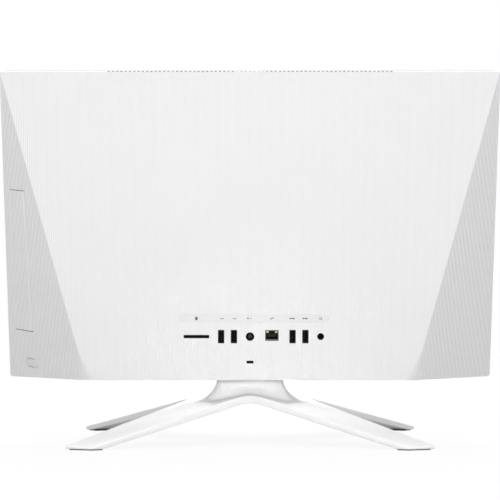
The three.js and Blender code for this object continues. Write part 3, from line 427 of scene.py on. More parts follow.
# The solids that are shown as they are: their material, and by how many millimetres their edges are broken.
SHOWN = (
    (cover_white, 0.5, "chin_cover"),
    (trim_white, 0.1, "label_band"),
    (trim_white, 0.4, "camera_module"),
    (bezel_black, 0.5, "front_bezel"),
    (screen_black, 0.15, "display_panel"),
    (screen_black, 0, "camera_lens"),
    (port_black, 0.15, "card_reader"),
    (matte_black, 0, "blower_rotor"),
    (matte_black, 0.15, "power_switch"),
    (matte_black, 0.2, "camera_guide"),
    (matte_black, 0.3, "blower_housing disc_spindle backlight_unit"),
    (matte_black, 0.4, "optical_tray"),
    (matte_black, 0.5, "left_speaker right_speaker"),
    (sheet_steel, 0, "chassis_plate friction_washer_left friction_washer_right"),
    (sheet_steel, 0.15, "lock_plate drive_caddy"),
    (sheet_steel, 0.3, "head_bracket stand_bracket"),
    (bright_steel, 0, "fin_stack hinge_shaft hinge_nut_left hinge_nut_right stand_screw_1 stand_screw_2"),
    (bright_steel, 0.3, "optical_case storage_drive"),
    (copper, 0, "heat_pipe"),
    (copper, 0.2, "cold_plate"),
    (circuit, 0, "motherboard memory_module_1 memory_module_2 wireless_card"),
    (rubber, 0.2, "foot_pad_front_left foot_pad_front_right foot_pad_back_left foot_pad_back_right"),
)
EDGE_TURN = math.radians(40)


def broken_edges(piece, width, segments, turn):
    modifier = piece.modifiers.new("edges", "BEVEL")
    modifier.width = width
    modifier.segments = segments
    modifier.limit_method = "ANGLE"
    modifier.angle_limit = turn
    modifier.use_clamp_overlap = True


for material, width, names in SHOWN:
    for name in names.split():
        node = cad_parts[name]
        node.data.materials.clear()
        node.data.materials.append(material)
        if width:
            broken_edges(node, width * MM, 2, EDGE_TURN)


# The back: a ribbed middle face and two ribbed facets that meet in a crisp crease, softened low down.

# Where the wall's inside is laid down: shares of the crease's height, and of its softening to either side.
LEVEL_SHARES = (0, 0.25, 0.5, 0.75, 1)
CREASE_SHARES = (-1.1, -0.8, -0.5, -0.25, 0, 0.25, 0.5, 0.8, 1.1)


def corner_drop(x, radius):
    """How far a rounded corner of the outline takes a column in from the straight edge."""
    inside = max(0.0, min(1.0, (HALF_WIDTH - abs(x)) / radius))
    return radius * (1 - math.sqrt(1 - (1 - inside) ** 2))


def middle_depth(z):
    return MID_SLOPE * (HEAD_HEIGHT - z)


def facet_depth(x):
    return FACET_SLOPE * (HALF_WIDTH - abs(x))


def rib(along, deepest=RIB_DEPTH):
    """How deep the surface lies under the crest of its ribs, at a distance along it."""
    return deepest * (0.5 + 0.5 * math.cos(2 * math.pi * along / RIB_PITCH))


def crease_overlap(x, z):
    """How far the two faces run into each other's softening at a place, and how wide that is there."""
    softness = max(0.0, 1 - (z - EDGE_RISE) / CREASE_HEIGHT)
    blend = CREASE_SHARP + (CREASE_SOFT - CREASE_SHARP) * softness ** 2
    return max(blend - abs(middle_depth(z) - facet_depth(x)), 0.0), blend


def back_depth(x, z):
    overlap, blend = crease_overlap(x, z)
    return min(middle_depth(z), facet_depth(x)) - overlap * overlap / (4 * blend)


def swept(name, columns):
    """A closed solid from loops of points, each joined to the next."""
    size, count = len(columns[0]), len(columns)
    vertices = [point for column in columns for point in column]
    ends = [tuple(reversed(range(size))), tuple(range((count - 1) * size, count * size))]
    return solid_object(name, vertices, ends + walls(size, count), HEAD)


def middle_body():
    """The head with only its middle face, as wide as the whole; the ribs run straight down it."""
    tilt = math.tan(REST_TILT)
    columns = []
    half = spread(0, HALF_WIDTH - TOP_CORNER, RIB_PITCH / RIB_STEPS)
    half += spread(HALF_WIDTH - TOP_CORNER, HALF_WIDTH, TOP_CORNER / CORNER_STEPS)[1:]
    for x in mirrored(half):
        depth = rib(x)
        low = corner_drop(x, BOTTOM_CORNER)
        high = HEAD_HEIGHT - corner_drop(x, TOP_CORNER)
        back = (MID_SLOPE * HEAD_HEIGHT - depth) / (1 + MID_SLOPE * tilt)
        columns.append([(x, -RIM_DEPTH, low), (x, 0, low), (x, back, back * tilt),
                        (x, middle_depth(high - TOP_LIP) - depth, high - TOP_LIP),
                        (x, middle_depth(high) - RIB_DEPTH, high), (x, -RIM_DEPTH, high)])
    return swept("head_middle", columns)


def facet_body():
    """The two facets as one body; their ribs lean a little inwards on the way down."""
    lean = RIB_LEAN * FACET_COS
    half = []
    for foot in spread(FACET_FROM, HALF_WIDTH + OVERRUN, RIB_PITCH * FACET_COS / RIB_STEPS):
        depth = rib(foot / FACET_COS, FACET_RIB_DEPTH) / FACET_COS
        half.append([(foot + lean * z, facet_depth(foot + lean * z) - depth, z) for z in (-OVERRUN, CUT_TOP)])
    columns = []
    for side in (-1, 1):
        for (x0, y0, z0), (x1, y1, z1) in half if side > 0 else reversed(half):
            columns.append([(side * x0, CUT_FRONT, z0), (side * x0, y0, z0),
                            (side * x1, y1, z1), (side * x1, CUT_FRONT, z1)])
    return swept("head_facets", columns)


def soft_crease_body():
    """Low down the crease is rounded over; elsewhere this body stays clear of the faces."""
    rows = spread(-OVERRUN, EDGE_RISE + CREASE_HEIGHT, CREASE_ROW) + [CUT_TOP]
    zone = spread(*SOFT_ZONE, RIB_PITCH * FACET_COS / RIB_STEPS)
    half = [0] + zone + [HALF_WIDTH + OVERRUN]
    columns = []
    for x in mirrored(half):
        column = [(x, CUT_FRONT, rows[0])]
        for z in rows:
            overlap, _ = crease_overlap(x, z)
            if overlap > 0 and zone[0] <= abs(x) <= zone[-1]:
                on_middle = middle_depth(z) < facet_depth(x)
                along = x if on_middle else abs(x) / FACET_COS - RIB_LEAN * z
                share = min(1.0, abs(middle_depth(z) - facet_depth(x)) / RIB_FADE)
                deepest = RIB_DEPTH if on_middle else FACET_RIB_DEPTH
                depth = back_depth(x, z) - rib(along, deepest) * share - RIB_DEPTH / 2 * (1 - share)
            else:
                depth = CLEAR_DEPTH
            column.append((x, depth, z))
        column.append((x, CUT_FRONT, rows[-1]))
        columns.append(column)
    return swept("head_crease", columns)


def ribbed_body():
    """The whole head behind its rim as one closed solid."""
    body = middle_body()
    boolean(body, facet_body(), "INTERSECT")
    boolean(body, soft_crease_body(), "INTERSECT")
    return body


def inner_points(wall):
    """The inside of the cover's wall: a convex body a wall's thickness in."""
    facet_inset = wall / FACET_COS
    mid_inset = wall / math.cos(MID_ANGLE)
    points = []
    x1 = HALF_WIDTH - wall
    back = min(0.0, FACET_SLOPE * wall - facet_inset)
    for side in (-1, 1):
        for z in (wall, HEAD_HEIGHT - wall):
            points.append((side * x1, CUT_FRONT, z))
            points.append((side * x1, back, z))
    for level_share in LEVEL_SHARES:
        level = EDGE_RISE + CREASE_HEIGHT * level_share
        middle = HALF_WIDTH - MID_SLOPE * (HEAD_HEIGHT - level) / FACET_SLOPE
        for crease_share in CREASE_SHARES:
            x = min(middle + CREASE_SOFT / FACET_SLOPE * crease_share, HALF_WIDTH - 2 * wall)
            depth = back_depth(x, level) - (facet_inset if crease_share > 0 else mid_inset)
            floor = depth * math.tan(REST_TILT) + wall / math.cos(REST_TILT)
            for side in (-1, 1):
                points.append((side * x, depth, floor if level_share == 0 else level))
    top = HEAD_HEIGHT - wall
    x = HALF_WIDTH - MID_SLOPE * wall / FACET_SLOPE - (facet_inset - mid_inset) / FACET_SLOPE
    for side in (-1, 1):
        points.append((side * min(x, x1), MID_SLOPE * wall - mid_inset, top))
    return points


def inner_body(name, wall):
    made = bmesh.new()
    for point in inner_points(wall):
        made.verts.new(HEAD @ Vector(point))
    hull = bmesh.ops.convex_hull(made, input=made.verts)
    spare = [v for v in hull["geom_interior"] if isinstance(v, bmesh.types.BMVert)]
    bmesh.ops.delete(made, geom=spare, context="VERTS")
    piece = finished(name, made)
    fix_normals(piece)
    return piece


# Places and sizes of the openings in the back.
PORT_ROW = 42.9 * MM
USB_PLACES = [28.4 * MM, 15.8 * MM, -41.8 * MM, -54.4 * MM]
USB_SIZE = mm(5.7, 12.7)
USB_CORNER = 0.9 * MM
DC_NOSE = 3.9 * MM
ETHERNET_PLACE = mm(-21.5, 44.0)
ETHERNET_SIZE = mm(12.6, 10)
ETHERNET_CORNER = 0.45 * MM
AUDIO_PLACE = -69.4 * MM
AUDIO_NOSE = 3.1 * MM
CARD_PLACE = 52.6 * MM
CARD_SIZE = mm(25.2, 3.3)
CARD_CORNER = 0.7 * MM
LOCK_RISE = 17.6 * MM
LOCK_SIZE = mm(7.2, 3.3)
LOCK_CORNER = 0.3 * MM
BAND = mm(-77.4, 68.7, 60.8, 6.8)
BAND_DEPTH = 0.6 * MM
MOUTH = [mm(5, 50.9), mm(17.3, 50.9), mm(13.8, 192.8), mm(3.8, 192.8)]
BUTTON = mm(-38.8, -23.2, 14.3, 22.2)
VENT_PITCH = 4.2 * MM
VENT_WIDTH = 2.5 * MM
VENT_COUNT = 67
VENT_DEPTHS = mm(-8, -1.2)
CAMERA_SLOT = mm(10.7, -8.8, -2.5)
CAMERA_CLEAR = 15.2 * MM
NECK_SLOT = mm(37.7, 44.4)

# The sockets behind the openings. Depths run from the rear face inwards.
SOCKET_BACK = -15.7 * MM
INSIDE_FACE = -2.5 * MM
NOSE_FACE = -0.4 * MM
BODY_CORNER = 0.6 * MM
NOSE_LIP = 0.2 * MM
USB_SHELL = 0.45 * MM
USB_CORNERS = mm(0.7, 0.5, 0.3)
USB_LINER = mm(0.02, 0.25)
USB_LINER_RECESS = 0.35 * MM
USB_BASE = 1.4 * MM
TONGUE_SIZE = mm(1.9, 10.1)
TONGUE_SHIFT = 0.6 * MM
TONGUE_RECESS = 1.2 * MM
TONGUE_CORNER = 0.4 * MM
TONGUE_EDGE = 0.25 * MM
CONTACT_COUNT = 4
CONTACT_PITCH = 2.3 * MM
CONTACT_HALF = 0.45 * MM
CONTACT_PROUD = 0.08 * MM
CONTACT_SUNK = 0.1 * MM
CONTACT_RECESS = 1 * MM
DC_SIDE = 12 * MM
DC_BORE = 3.2 * MM
DC_BASE = 1.6 * MM
DC_PIN = 2.05 * MM
DC_PIN_RECESS = 0.9 * MM
DC_PIN_EDGE = 0.45 * MM
DC_PIN_BORE = mm(0.5, 4)
AUDIO_SIDE = 9 * MM
AUDIO_BORE = 2.6 * MM
AUDIO_BASE = 1.5 * MM

# The network socket's body, its two openings as their side, foot and top margins and the rise of their
# shoulder, and its lights and wires.
NETWORK_BODY = mm(15.6, 13)
NETWORK_CORNER = 0.5 * MM
NETWORK_BASE = 2.4 * MM
NETWORK_SHIELD = 0.25 * MM
NETWORK_CAVITY = mm(0.7, 1.3, 0.7, 2.2)
NETWORK_WINDOW = mm(0.45, 1.25, 0.55, 2.35)
TAB_HALF = 2.8 * MM
LIGHT_PLACE = mm(4.3, 3.5)
LIGHT_SIZE = mm(2.1, 1.5)
LIGHT_CORNER = 0.4 * MM
LIGHT_EDGE = 0.15 * MM
LIGHT_RECESS = 0.02 * MM
WIRE_COUNT = 8
WIRE_PITCH = 1.02 * MM
WIRE_PATH = (mm(-9, -3.4), mm(-2.2, -1.2), mm(-1.7, 1.6))
WIRE_RADIUS = 0.13 * MM

# The lock's plate, and the dark cup behind it, painted shade for the slot's dark inside: its margin and
# corner outside and inside, its depth and its floor.
LOCK_PLATE = 1.2 * MM
LOCK_SHADE_CUP = (mm(0.6, 1.2), mm(0.1, 0.9))
LOCK_SHADE_DEPTH = 6 * MM
LOCK_SHADE_FLOOR = 1 * MM

# The screw posts, the tray's lug, the power button, the seams with their dark liners, and the dark vent
# inserts; the liners and inserts are painted shade.
BOSS_COLUMNS = mm(81, -88)
BOSS_ROWS = mm(31, 153)
BOSS_RADIUS = 3.5 * MM
SWITCH_POSTS = [mm(-42.5, -40.5), mm(-21.5, -19.5)]
SWITCH_SEAT = -9.8 * MM
LUG = (mm(219.8, 230.3), mm(6.35, 10.35), mm(99.85, 143.85))
FLANGE = 1.1 * MM
FLANGE_RIM = 1.2 * MM
STEM_RADIUS = 1.5 * MM
STEM_LENGTH = 1.4 * MM
BUTTON_PROUD = 0.1 * MM
BUTTON_EDGE = 0.35 * MM
END_SEAM = 0.35 * MM
SEAM_DEPTH = 0.45 * MM
SEAM_CLEAR = 0.05 * MM
EDGE_FLAT = 0.9 * MM
VENT_SHADE_DROP = 0.12 * MM
VENT_SHADE_DEPTH = 0.8 * MM
NOTCH = 0.34 * MM
BUTTON_SEAM = mm(-33, -24)
BUTTON_SEAM_WIDTH = 0.4 * MM


def centred(x, z, size, corner, margin=0.0):
    """A rectangle with round corners about its middle, drawn out by a margin."""
    half, tall = (length / 2 + margin for length in size)
    return rounded(x - half, x + half, z - tall, z + tall, corner)


def tipped(x, z, size, corner, low, high, edge):
    """A bar out of the face whose end is rounded over."""
    return stacked(FACE, rounded_top(lambda margin: centred(x, z, size, corner + margin, margin),
                                     low, high, edge, TIP_STEPS))


def port_tools():
    left, right, rise, height = BAND
    around = height / 2 + GAP
    outlines = [centred(x, PORT_ROW, USB_SIZE, USB_CORNER, GAP) for x in USB_PLACES] + [
        circle(0, PORT_ROW, DC_NOSE + GAP),
        centred(*ETHERNET_PLACE, ETHERNET_SIZE, ETHERNET_CORNER, GAP),
        circle(AUDIO_PLACE, PORT_ROW, AUDIO_NOSE + GAP),
        centred(CARD_PLACE, PORT_ROW, CARD_SIZE, CARD_CORNER),
        centred(0, LOCK_RISE, LOCK_SIZE, LOCK_CORNER)]
    tools = [prism(FACE, outline, *THROUGH_WALL) for outline in outlines]
    band = rounded(left - GAP, right + GAP, rise - around, rise + around, around, END_STEPS)
    return tools + [prism(FACE, band, -BAND_DEPTH - GAP, OVERRUN)]


def sideways(outline, low):
    """A solid that runs out of the head's side, from an outline of places backwards and upwards."""
    return prism(SIDE, [(-y, z) for y, z in reversed(outline)], low, HALF_WIDTH + OVERRUN)


def mouth_tool(margin, end_margin):
    """The disc drive's mouth runs straight out of the facet."""
    outline = [(y + a * margin, z + b * end_margin) for (y, z), (a, b) in zip(MOUTH, SQUARE)]
    return sideways(outline, HALF_WIDTH - (MOUTH[1][0] + 2 * WALL) / FACET_SLOPE - OVERRUN)


def edge_tool():
    """Takes a narrow flat, turned to the back, off the long inner edge of the drive's front."""
    _, (low_y, low_z), (high_y, high_z), _ = MOUTH
    return sideways([(low_y - EDGE_FLAT, low_z - OVERRUN), (low_y + OVERRUN, low_z - OVERRUN),
                     (high_y + OVERRUN, high_z + OVERRUN), (high_y - EDGE_FLAT, high_z + OVERRUN)], 0)


def button_outline(margin):
    x0, x1, z0, z1 = BUTTON
    return rounded(x0 - margin, x1 + margin, z0 - margin, z1 + margin, (z1 - z0) / 2 + margin, END_STEPS)


def vent_parts(heights, depths, margin=0.0, clear=CAMERA_CLEAR):
    front, back = depths
    half = VENT_WIDTH / 2 - margin
    places = [(i - (VENT_COUNT - 1) / 2) * VENT_PITCH for i in range(VENT_COUNT)]
    return [box_part(HEAD, (x - half, x + half), (front + margin, back - margin), heights)
            for x in places if abs(x) >= clear]


def notch_parts():
    """Each vent runs out through the back edge as a shallow notch."""
    heights = (HEAD_HEIGHT - NOTCH, CUT_TOP)
    return vent_parts(heights, (VENT_DEPTHS[1] - OVERRUN, OVERRUN), clear=0)


def vent_shade_parts():
    """Dark grey inserts in the vents and in the notches at their ends, painted shade for their dark insides.
    """
    top = HEAD_HEIGHT - VENT_SHADE_DROP
    notches = (VENT_DEPTHS[1], VENT_DEPTHS[1] / 2)
    return (vent_parts((HEAD_HEIGHT - VENT_SHADE_DEPTH, top), VENT_DEPTHS, SEAM_CLEAR)
            + vent_parts((HEAD_HEIGHT - NOTCH, top), notches, SEAM_CLEAR, 0))


def button_seam(margin, depths):
    """The slot that shows as a dark line over the power button."""
    low, high = BUTTON_SEAM
    edge = BUTTON[3] + GAP
    rises = (edge + margin / 2, edge + BUTTON_SEAM_WIDTH - margin)
    return box_part(FACET, (low + margin, high - margin), depths, rises)


def vent_tools():
    heights = (HEAD_HEIGHT - WALL - OVERRUN, CUT_TOP)
    half, front, back = CAMERA_SLOT
    return vent_parts(heights, VENT_DEPTHS) + [box_part(HEAD, (-half, half), (front, back), heights)]


def boss_parts():
    """Screw posts between the wall and the circuit board, and the two posts beside the power switch."""
    return [prism(FACE, circle(x, z, BOSS_RADIUS, POST_SIDES), SOCKET_BACK, -WALL / 2)
            for x in BOSS_COLUMNS for z in BOSS_ROWS] + [
        box_part(FACET, post, (SWITCH_SEAT + GAP, -WALL / 2), BUTTON[2:]) for post in SWITCH_POSTS]


def cover_and_bezel():
    """The cover and the disc drive's front are cut from one body, so the ribs run on across the seam."""
    cover = ribbed_body()
    cover.name = "cover_skin"
    solid = copy_of(cover, "solid_head")
    boolean(cover, inner_body("cover_inside", WALL), "DIFFERENCE")
    bezel = copy_of(cover, "optical_front")
    cut_by(bezel, [mouth_tool(0, -END_SEAM)], "INTERSECT")
    cut_by(bezel, [edge_tool()])
    lug = joined("optical_lug", [box_part(HEAD, *LUG)])
    boolean(lug, solid, "INTERSECT")
    boolean(bezel, lug, "UNION")
    for boss in boss_parts():
        cut_by(cover, [boss], "UNION")
    half, back = NECK_SLOT
    cut_by(cover, port_tools() + vent_tools() + [
        mouth_tool(GAP, GAP),
        button_seam(0, THROUGH_WALL),
        prism(FACET, button_outline(GAP), *THROUGH_WALL),
        box_part(HEAD, (-half, half), (0, back), (-OVERRUN, EDGE_RISE + OVERRUN)),
    ])
    cut_by(cover, notch_parts())
    dress(cover, cover_white, "head", RIB_TURN)
    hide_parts("rear_cover")
    dress(bezel, cover_white, "disc_tray", RIB_TURN)
    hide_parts("optical_bezel")


cover_and_bezel()


def drive_painted_shade():
    """Dark lips in the two short seams of the disc drive's front, below the surface: painted shade that
    darkens the seams.
    """
    (near, low), (far, _), (_, high), (nearest, _) = MOUTH
    across = (HALF_WIDTH - far / FACET_SLOPE - OVERRUN, HALF_WIDTH)
    liner = joined("drive_painted_shade", [
        box_part(HEAD, across, (min(near, nearest), far), heights)
        for heights in ((low - GAP + SEAM_CLEAR, low + END_SEAM - SEAM_CLEAR),
                        (high - END_SEAM + SEAM_CLEAR, high + GAP - SEAM_CLEAR))])
    boolean(liner, inner_body("liner_room", SEAM_DEPTH), "INTERSECT")
    boolean(liner, inner_body("liner_inside", WALL), "DIFFERENCE")
    dress(liner, port_black, "head")


drive_painted_shade()
# Dark inserts in the vents and notches: painted shade.
piece_of("vent_shade_inserts", vent_shade_parts(), vent_shade_grey, "head")
# A dark strip in the slot over the power button: painted shade that makes the slot read as a dark line.
piece_of("button_painted_shade", [button_seam(SEAM_CLEAR, (-WALL, -SEAM_DEPTH))], port_black, "head")


# Power button: a stadium with a softly rounded edge, on a flange that keeps it in.

def power_button():
    flange_top = -WALL - GAP
    flange_bottom = flange_top - FLANGE
    inside = flange_top - FLANGE / 2
    middle = ((BUTTON[0] + BUTTON[1]) / 2, (BUTTON[2] + BUTTON[3]) / 2)
    cap = stacked(FACET, rounded_top(button_outline, inside, BUTTON_PROUD, BUTTON_EDGE))
    flange = prism(FACET, button_outline(FLANGE_RIM), flange_bottom, flange_top)
    stem = prism(FACET, circle(*middle, STEM_RADIUS, STEM_SIDES), flange_bottom - STEM_LENGTH, inside)
    button = piece_of("power_cap", [cap], cover_white, "button", ROUND_TURN, "power_button")
    for part in (flange, stem):
        cut_by(button, [part], "UNION")
    button.data.set_sharp_from_angle(angle=math.radians(ROUND_TURN))


power_button()


# Ports. Each keeps its socket's place; x runs across the face, y out of it, z up it.

def usb_ports():
    outside, shell_corner, bore_corner = USB_CORNERS
    lining, bore = (-USB_SHELL - inset for inset in USB_LINER)
    floor = SOCKET_BACK + USB_BASE
    tip = NOSE_FACE - TONGUE_RECESS
    for i, x in enumerate(USB_PLACES):
        here = (x, PORT_ROW, USB_SIZE)
        near = x + TONGUE_SHIFT
        edge = near - TONGUE_SIZE[0] / 2
        shell = tube(FACE, centred(*here, outside), centred(*here, shell_corner, -USB_SHELL), SOCKET_BACK,
                     NOSE_FACE)
        piece_of(f"usb_shell_{i + 1}", [shell], dark_steel, "head", PLAIN_TURN, f"usb_port_{i + 1}")
        hole = centred(*here, bore_corner, bore)
        liner = tube(FACE, centred(*here, shell_corner, lining), hole, SOCKET_BACK,
                     NOSE_FACE - USB_LINER_RECESS)
        base = prism(FACE, hole, SOCKET_BACK, floor)
        tongue = tipped(near, PORT_ROW, TONGUE_SIZE, TONGUE_CORNER, SOCKET_BACK + USB_BASE / 2, tip,
                        TONGUE_EDGE)
        piece_of(f"usb_core_{i + 1}", [liner, base, tongue], port_black, "head")
        contacts = []
        for k in range(CONTACT_COUNT):
            z = PORT_ROW + (k - (CONTACT_COUNT - 1) / 2) * CONTACT_PITCH
            contacts.append(box_part(FACE, (edge - CONTACT_PROUD, edge + CONTACT_SUNK),
                                     (floor, tip - CONTACT_RECESS), (z - CONTACT_HALF, z + CONTACT_HALF)))
        piece_of(f"usb_contacts_{i + 1}", contacts, gold, "head")


def round_port(name, node, x, side, nose, bore, base):
    """A black socket: a square body on the board and a round nose with a rounded lip and a deep bore."""
    box = prism(FACE, centred(x, PORT_ROW, (side, side), BODY_CORNER), SOCKET_BACK, INSIDE_FACE)
    port = piece_of(name, [box], port_black, "head", ROUND_TURN, node)
    collar = rounded_top(lambda margin: circle(x, PORT_ROW, nose + margin, ROUND_SIDES),
                         INSIDE_FACE - GAP, NOSE_FACE, NOSE_LIP, LIP_STEPS)
    cut_by(port, [stacked(FACE, collar)], "UNION")
    rings = ((bore, SOCKET_BACK + base), (bore, NOSE_FACE - NOSE_LIP),
             (bore + 2 * NOSE_LIP, NOSE_FACE + NOSE_LIP))
    cut_by(port, [stacked(FACE, [(circle(x, PORT_ROW, radius, ROUND_SIDES), y) for radius, y in rings])])
    dress(port, port_black, angle=ROUND_TURN)


def dc_pin():
    rings = rounded_top(lambda margin: circle(0, PORT_ROW, DC_PIN + margin), SOCKET_BACK + DC_BASE + GAP,
                        NOSE_FACE - DC_PIN_RECESS, DC_PIN_EDGE, LIP_STEPS)
    pin = piece_of("dc_contact", [stacked(FACE, rings)], pin_grey, "head", ROUND_TURN, "dc_pin")
    radius, depth = DC_PIN_BORE
    cut_by(pin, [prism(FACE, circle(0, PORT_ROW, radius, STEM_SIDES), NOSE_FACE - depth, OVERRUN)])
    dress(pin, pin_grey, angle=ROUND_TURN)


def network_box(x, half, depths, low, high):
    """A box in the network socket, from its middle."""
    x0, z0 = ETHERNET_PLACE
    return box_part(FACE, (x0 + x - half, x0 + x + half), depths, (z0 + low, z0 + high))


def network_opening(margins, depths):
    """The room for a plug and, over it, for the plug's tab."""
    side, foot, top, shoulder = margins
    width, height = ETHERNET_SIZE
    return [network_box(0, width / 2 - side, depths, foot - height / 2, shoulder),
            network_box(0, TAB_HALF, depths, 0, height / 2 - top)]


def ethernet_port():
    x, z = ETHERNET_PLACE
    width, height = ETHERNET_SIZE
    seam = NOSE_FACE - NETWORK_SHIELD
    block = prism(FACE, centred(x, z, NETWORK_BODY, NETWORK_CORNER), SOCKET_BACK, INSIDE_FACE)
    body = piece_of("network_body", [block], port_black, "head")
    cut_by(body, [network_box(0, width / 2, (INSIDE_FACE - GAP, seam), -height / 2, height / 2)], "UNION")
    for part in network_opening(NETWORK_CAVITY, (SOCKET_BACK + NETWORK_BASE, OVERRUN)):
        cut_by(body, [part])
    dress(body, port_black)
    sheet = network_box(0, width / 2, (seam, NOSE_FACE), -height / 2, height / 2)
    plate = piece_of("network_shield", [sheet], port_grey, "head", PLAIN_TURN, "ethernet_jack")
    through = (NOSE_FACE - OVERRUN, OVERRUN)
    out, up = LIGHT_PLACE
    half, tall = (size / 2 + SEAM_CLEAR for size in LIGHT_SIZE)
    for part in network_opening(NETWORK_WINDOW, through) + [
            network_box(side * out, half, through, up - tall, up + tall) for side in (-1, 1)]:
        cut_by(plate, [part])
    dress(plate, port_grey)
    lights = [tipped(x + side * out, z + up, LIGHT_SIZE, LIGHT_CORNER, seam, NOSE_FACE - LIGHT_RECESS,
                     LIGHT_EDGE) for side in (-1, 1)]
    piece_of("network_lights", lights, led_pale, "head")
    wires = []
    for k in range(WIRE_COUNT):
        at = x + (k - (WIRE_COUNT - 1) / 2) * WIRE_PITCH
        wires.append(wire(FACE, [(at, y, z + rise) for y, rise in WIRE_PATH], WIRE_RADIUS))
    piece_of("network_contacts", wires, gold, "head")


def lock_shade_well():
    """A dark cup behind the lock slot: painted shade for the slot's inside."""
    outer, inner = (centred(0, LOCK_RISE, LOCK_SIZE, corner, margin) for margin, corner in LOCK_SHADE_CUP)
    mouth = INSIDE_FACE - LOCK_PLATE
    foot = mouth - LOCK_SHADE_DEPTH
    wall = tube(FACE, outer, inner, foot, mouth - SEAM_CLEAR)
    bottom = prism(FACE, outer, foot - LOCK_SHADE_FLOOR, foot)
    piece_of("lock_shade_cup", [wall, bottom], port_black, "head")


usb_ports()
round_port("dc_collar", "dc_jack", 0, DC_SIDE, DC_NOSE, DC_BORE, DC_BASE)
dc_pin()
round_port("audio_collar", "audio_jack", AUDIO_PLACE, AUDIO_SIDE, AUDIO_NOSE, AUDIO_BORE, AUDIO_BASE)
ethernet_port()
lock_shade_well()


# Speaker grille: a thin plate full of round holes, with a dark cloth behind them.
GRILLE = (mm(-150, 150), mm(-16.7, -15.7), mm(9, 21))
GRILLE_CELL = 2 * MM
GRILLE_HOLE = 0.68 * MM
GRILLE_PLATE = 0.6 * MM
GRILLE_SIDES = 8
GRILLE_TURN = 40
CORNER_SHARE = 0.4


def grille_plate():
    """Square cells with a round hole each, welded into one plate."""
    (left, right), (front, back), (low, high) = GRILLE
    inside = front + GRILLE_PLATE
    made = bmesh.new()
    across = spread(left, right, GRILLE_CELL)
    upward = spread(low, high, GRILLE_CELL)
    turns = [2 * math.pi * (k + 0.5) / GRILLE_SIDES for k in range(GRILLE_SIDES)]
    tips = ((1, 1), (-1, 1), (-1, -1), (1, -1))
    corner = []
    for a, b in tips:
        near = [(a, b * CORNER_SHARE), (a * CORNER_SHARE, b)]
        corner += near if a == b else reversed(near)
    for x0, x1 in zip(across, across[1:]):
        for z0, z1 in zip(upward, upward[1:]):
            x, z = (x0 + x1) / 2, (z0 + z1) / 2
            half_x, half_z = (x1 - x0) / 2, (z1 - z0) / 2
            hole = [(x + GRILLE_HOLE * math.cos(t), z + GRILLE_HOLE * math.sin(t)) for t in turns]
            rim = [(x + a * half_x, z + b * half_z) for a, b in corner]
            loops = [[made.verts.new(HEAD @ Vector((px, y, pz))) for px, pz in loop]
                     for y, loop in ((front, rim), (front, hole), (inside, hole), (inside, rim))]
            for first, second in zip(loops, loops[1:]):
                for k in range(GRILLE_SIDES):
                    j = (k + 1) % GRILLE_SIDES
                    made.faces.new((first[k], first[j], second[j], second[k]))
            for loop, y in ((loops[0], front), (loops[3], inside)):
                for k, (a, b) in enumerate(tips):
                    tip = made.verts.new(HEAD @ Vector((x + a * half_x, y, z + b * half_z)))
                    made.faces.new((loop[2 * k], tip, loop[2 * k + 1]))
    bmesh.ops.remove_doubles(made, verts=made.verts, dist=GRILLE_CELL / 100)
    bmesh.ops.bridge_loops(made, edges=[edge for edge in made.edges if edge.is_boundary])
    bmesh.ops.recalc_face_normals(made, faces=made.faces)
    plate = finished("grille_plate", made)
    dress(plate, matte_black, "head", GRILLE_TURN)
    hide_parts("speaker_grille")
    cloth = [box_part(HEAD, (left, right), (inside, back), (low, high))]
    piece_of("grille_cloth", cloth, port_black, "head")


grille_plate()


# Port signs on the band, a plain small shape over each port. The tables are in millimetres: a bar has its
# place, width, height and rise, a dot its place, radius and number of sides.
SIGN_PROUD = 0.04 * MM
SIGN_SINK = 0.05 * MM
CARD_SIGN = [(1.2, -1.6), (1.2, 1.6), (-0.5, 1.6), (-1.2, 0.9), (-1.2, -1.6)]
DATA_BARS = ((0, 3.4, 0.4, 0), (-0.9, 1.2, 0.4, -0.7))
FAST_BARS = ((0, 3.4, 0.8, 0), (-0.9, 1.2, 0.4, -0.7), (2.2, 1.2, 1.2, 0))
DATA_DOT = (-1.9, 0.5, 16)
POWER_BARS = ((2.2, 0.5, 1.9, 0.2),)
POWER_DOTS = ((1.9, 0.75, 20), (-0.7, 0.5, 16))
NETWORK_BARS = ((0, 3.0, 0.45, 0), (-0.9, 1.1, 1.0, 0.55), (0.9, 1.1, 1.0, -0.55))
SOUND_RING = (1.45, 0.95)


def signs():
    z = BAND[2]
    heights = (-SIGN_SINK, SIGN_PROUD)

    def bars(x, table):
        return [prism(FACE, centred_box(x + place * MM, z + rise * MM, width * MM, height * MM), *heights)
                for place, width, height, rise in table]

    def dot(x, place, radius, sides):
        return prism(FACE, circle(x + place * MM, z, radius * MM, sides), *heights)

    parts = [prism(FACE, [(CARD_PLACE + a * MM, z + b * MM) for a, b in reversed(CARD_SIGN)], *heights)]
    for i, x in enumerate(USB_PLACES):
        parts += bars(x, FAST_BARS if i > 1 else DATA_BARS) + [dot(x, *DATA_DOT)]
    parts += bars(0, POWER_BARS) + [dot(0, *place) for place in POWER_DOTS]
    parts += bars(ETHERNET_PLACE[0], NETWORK_BARS)
    outer, inner = (circle(AUDIO_PLACE, z, radius * MM, POST_SIDES) for radius in SOUND_RING)
    parts.append(tube(FACE, outer, inner, *heights))
    piece_of("port_signs", parts, icon_grey, "head")


signs()


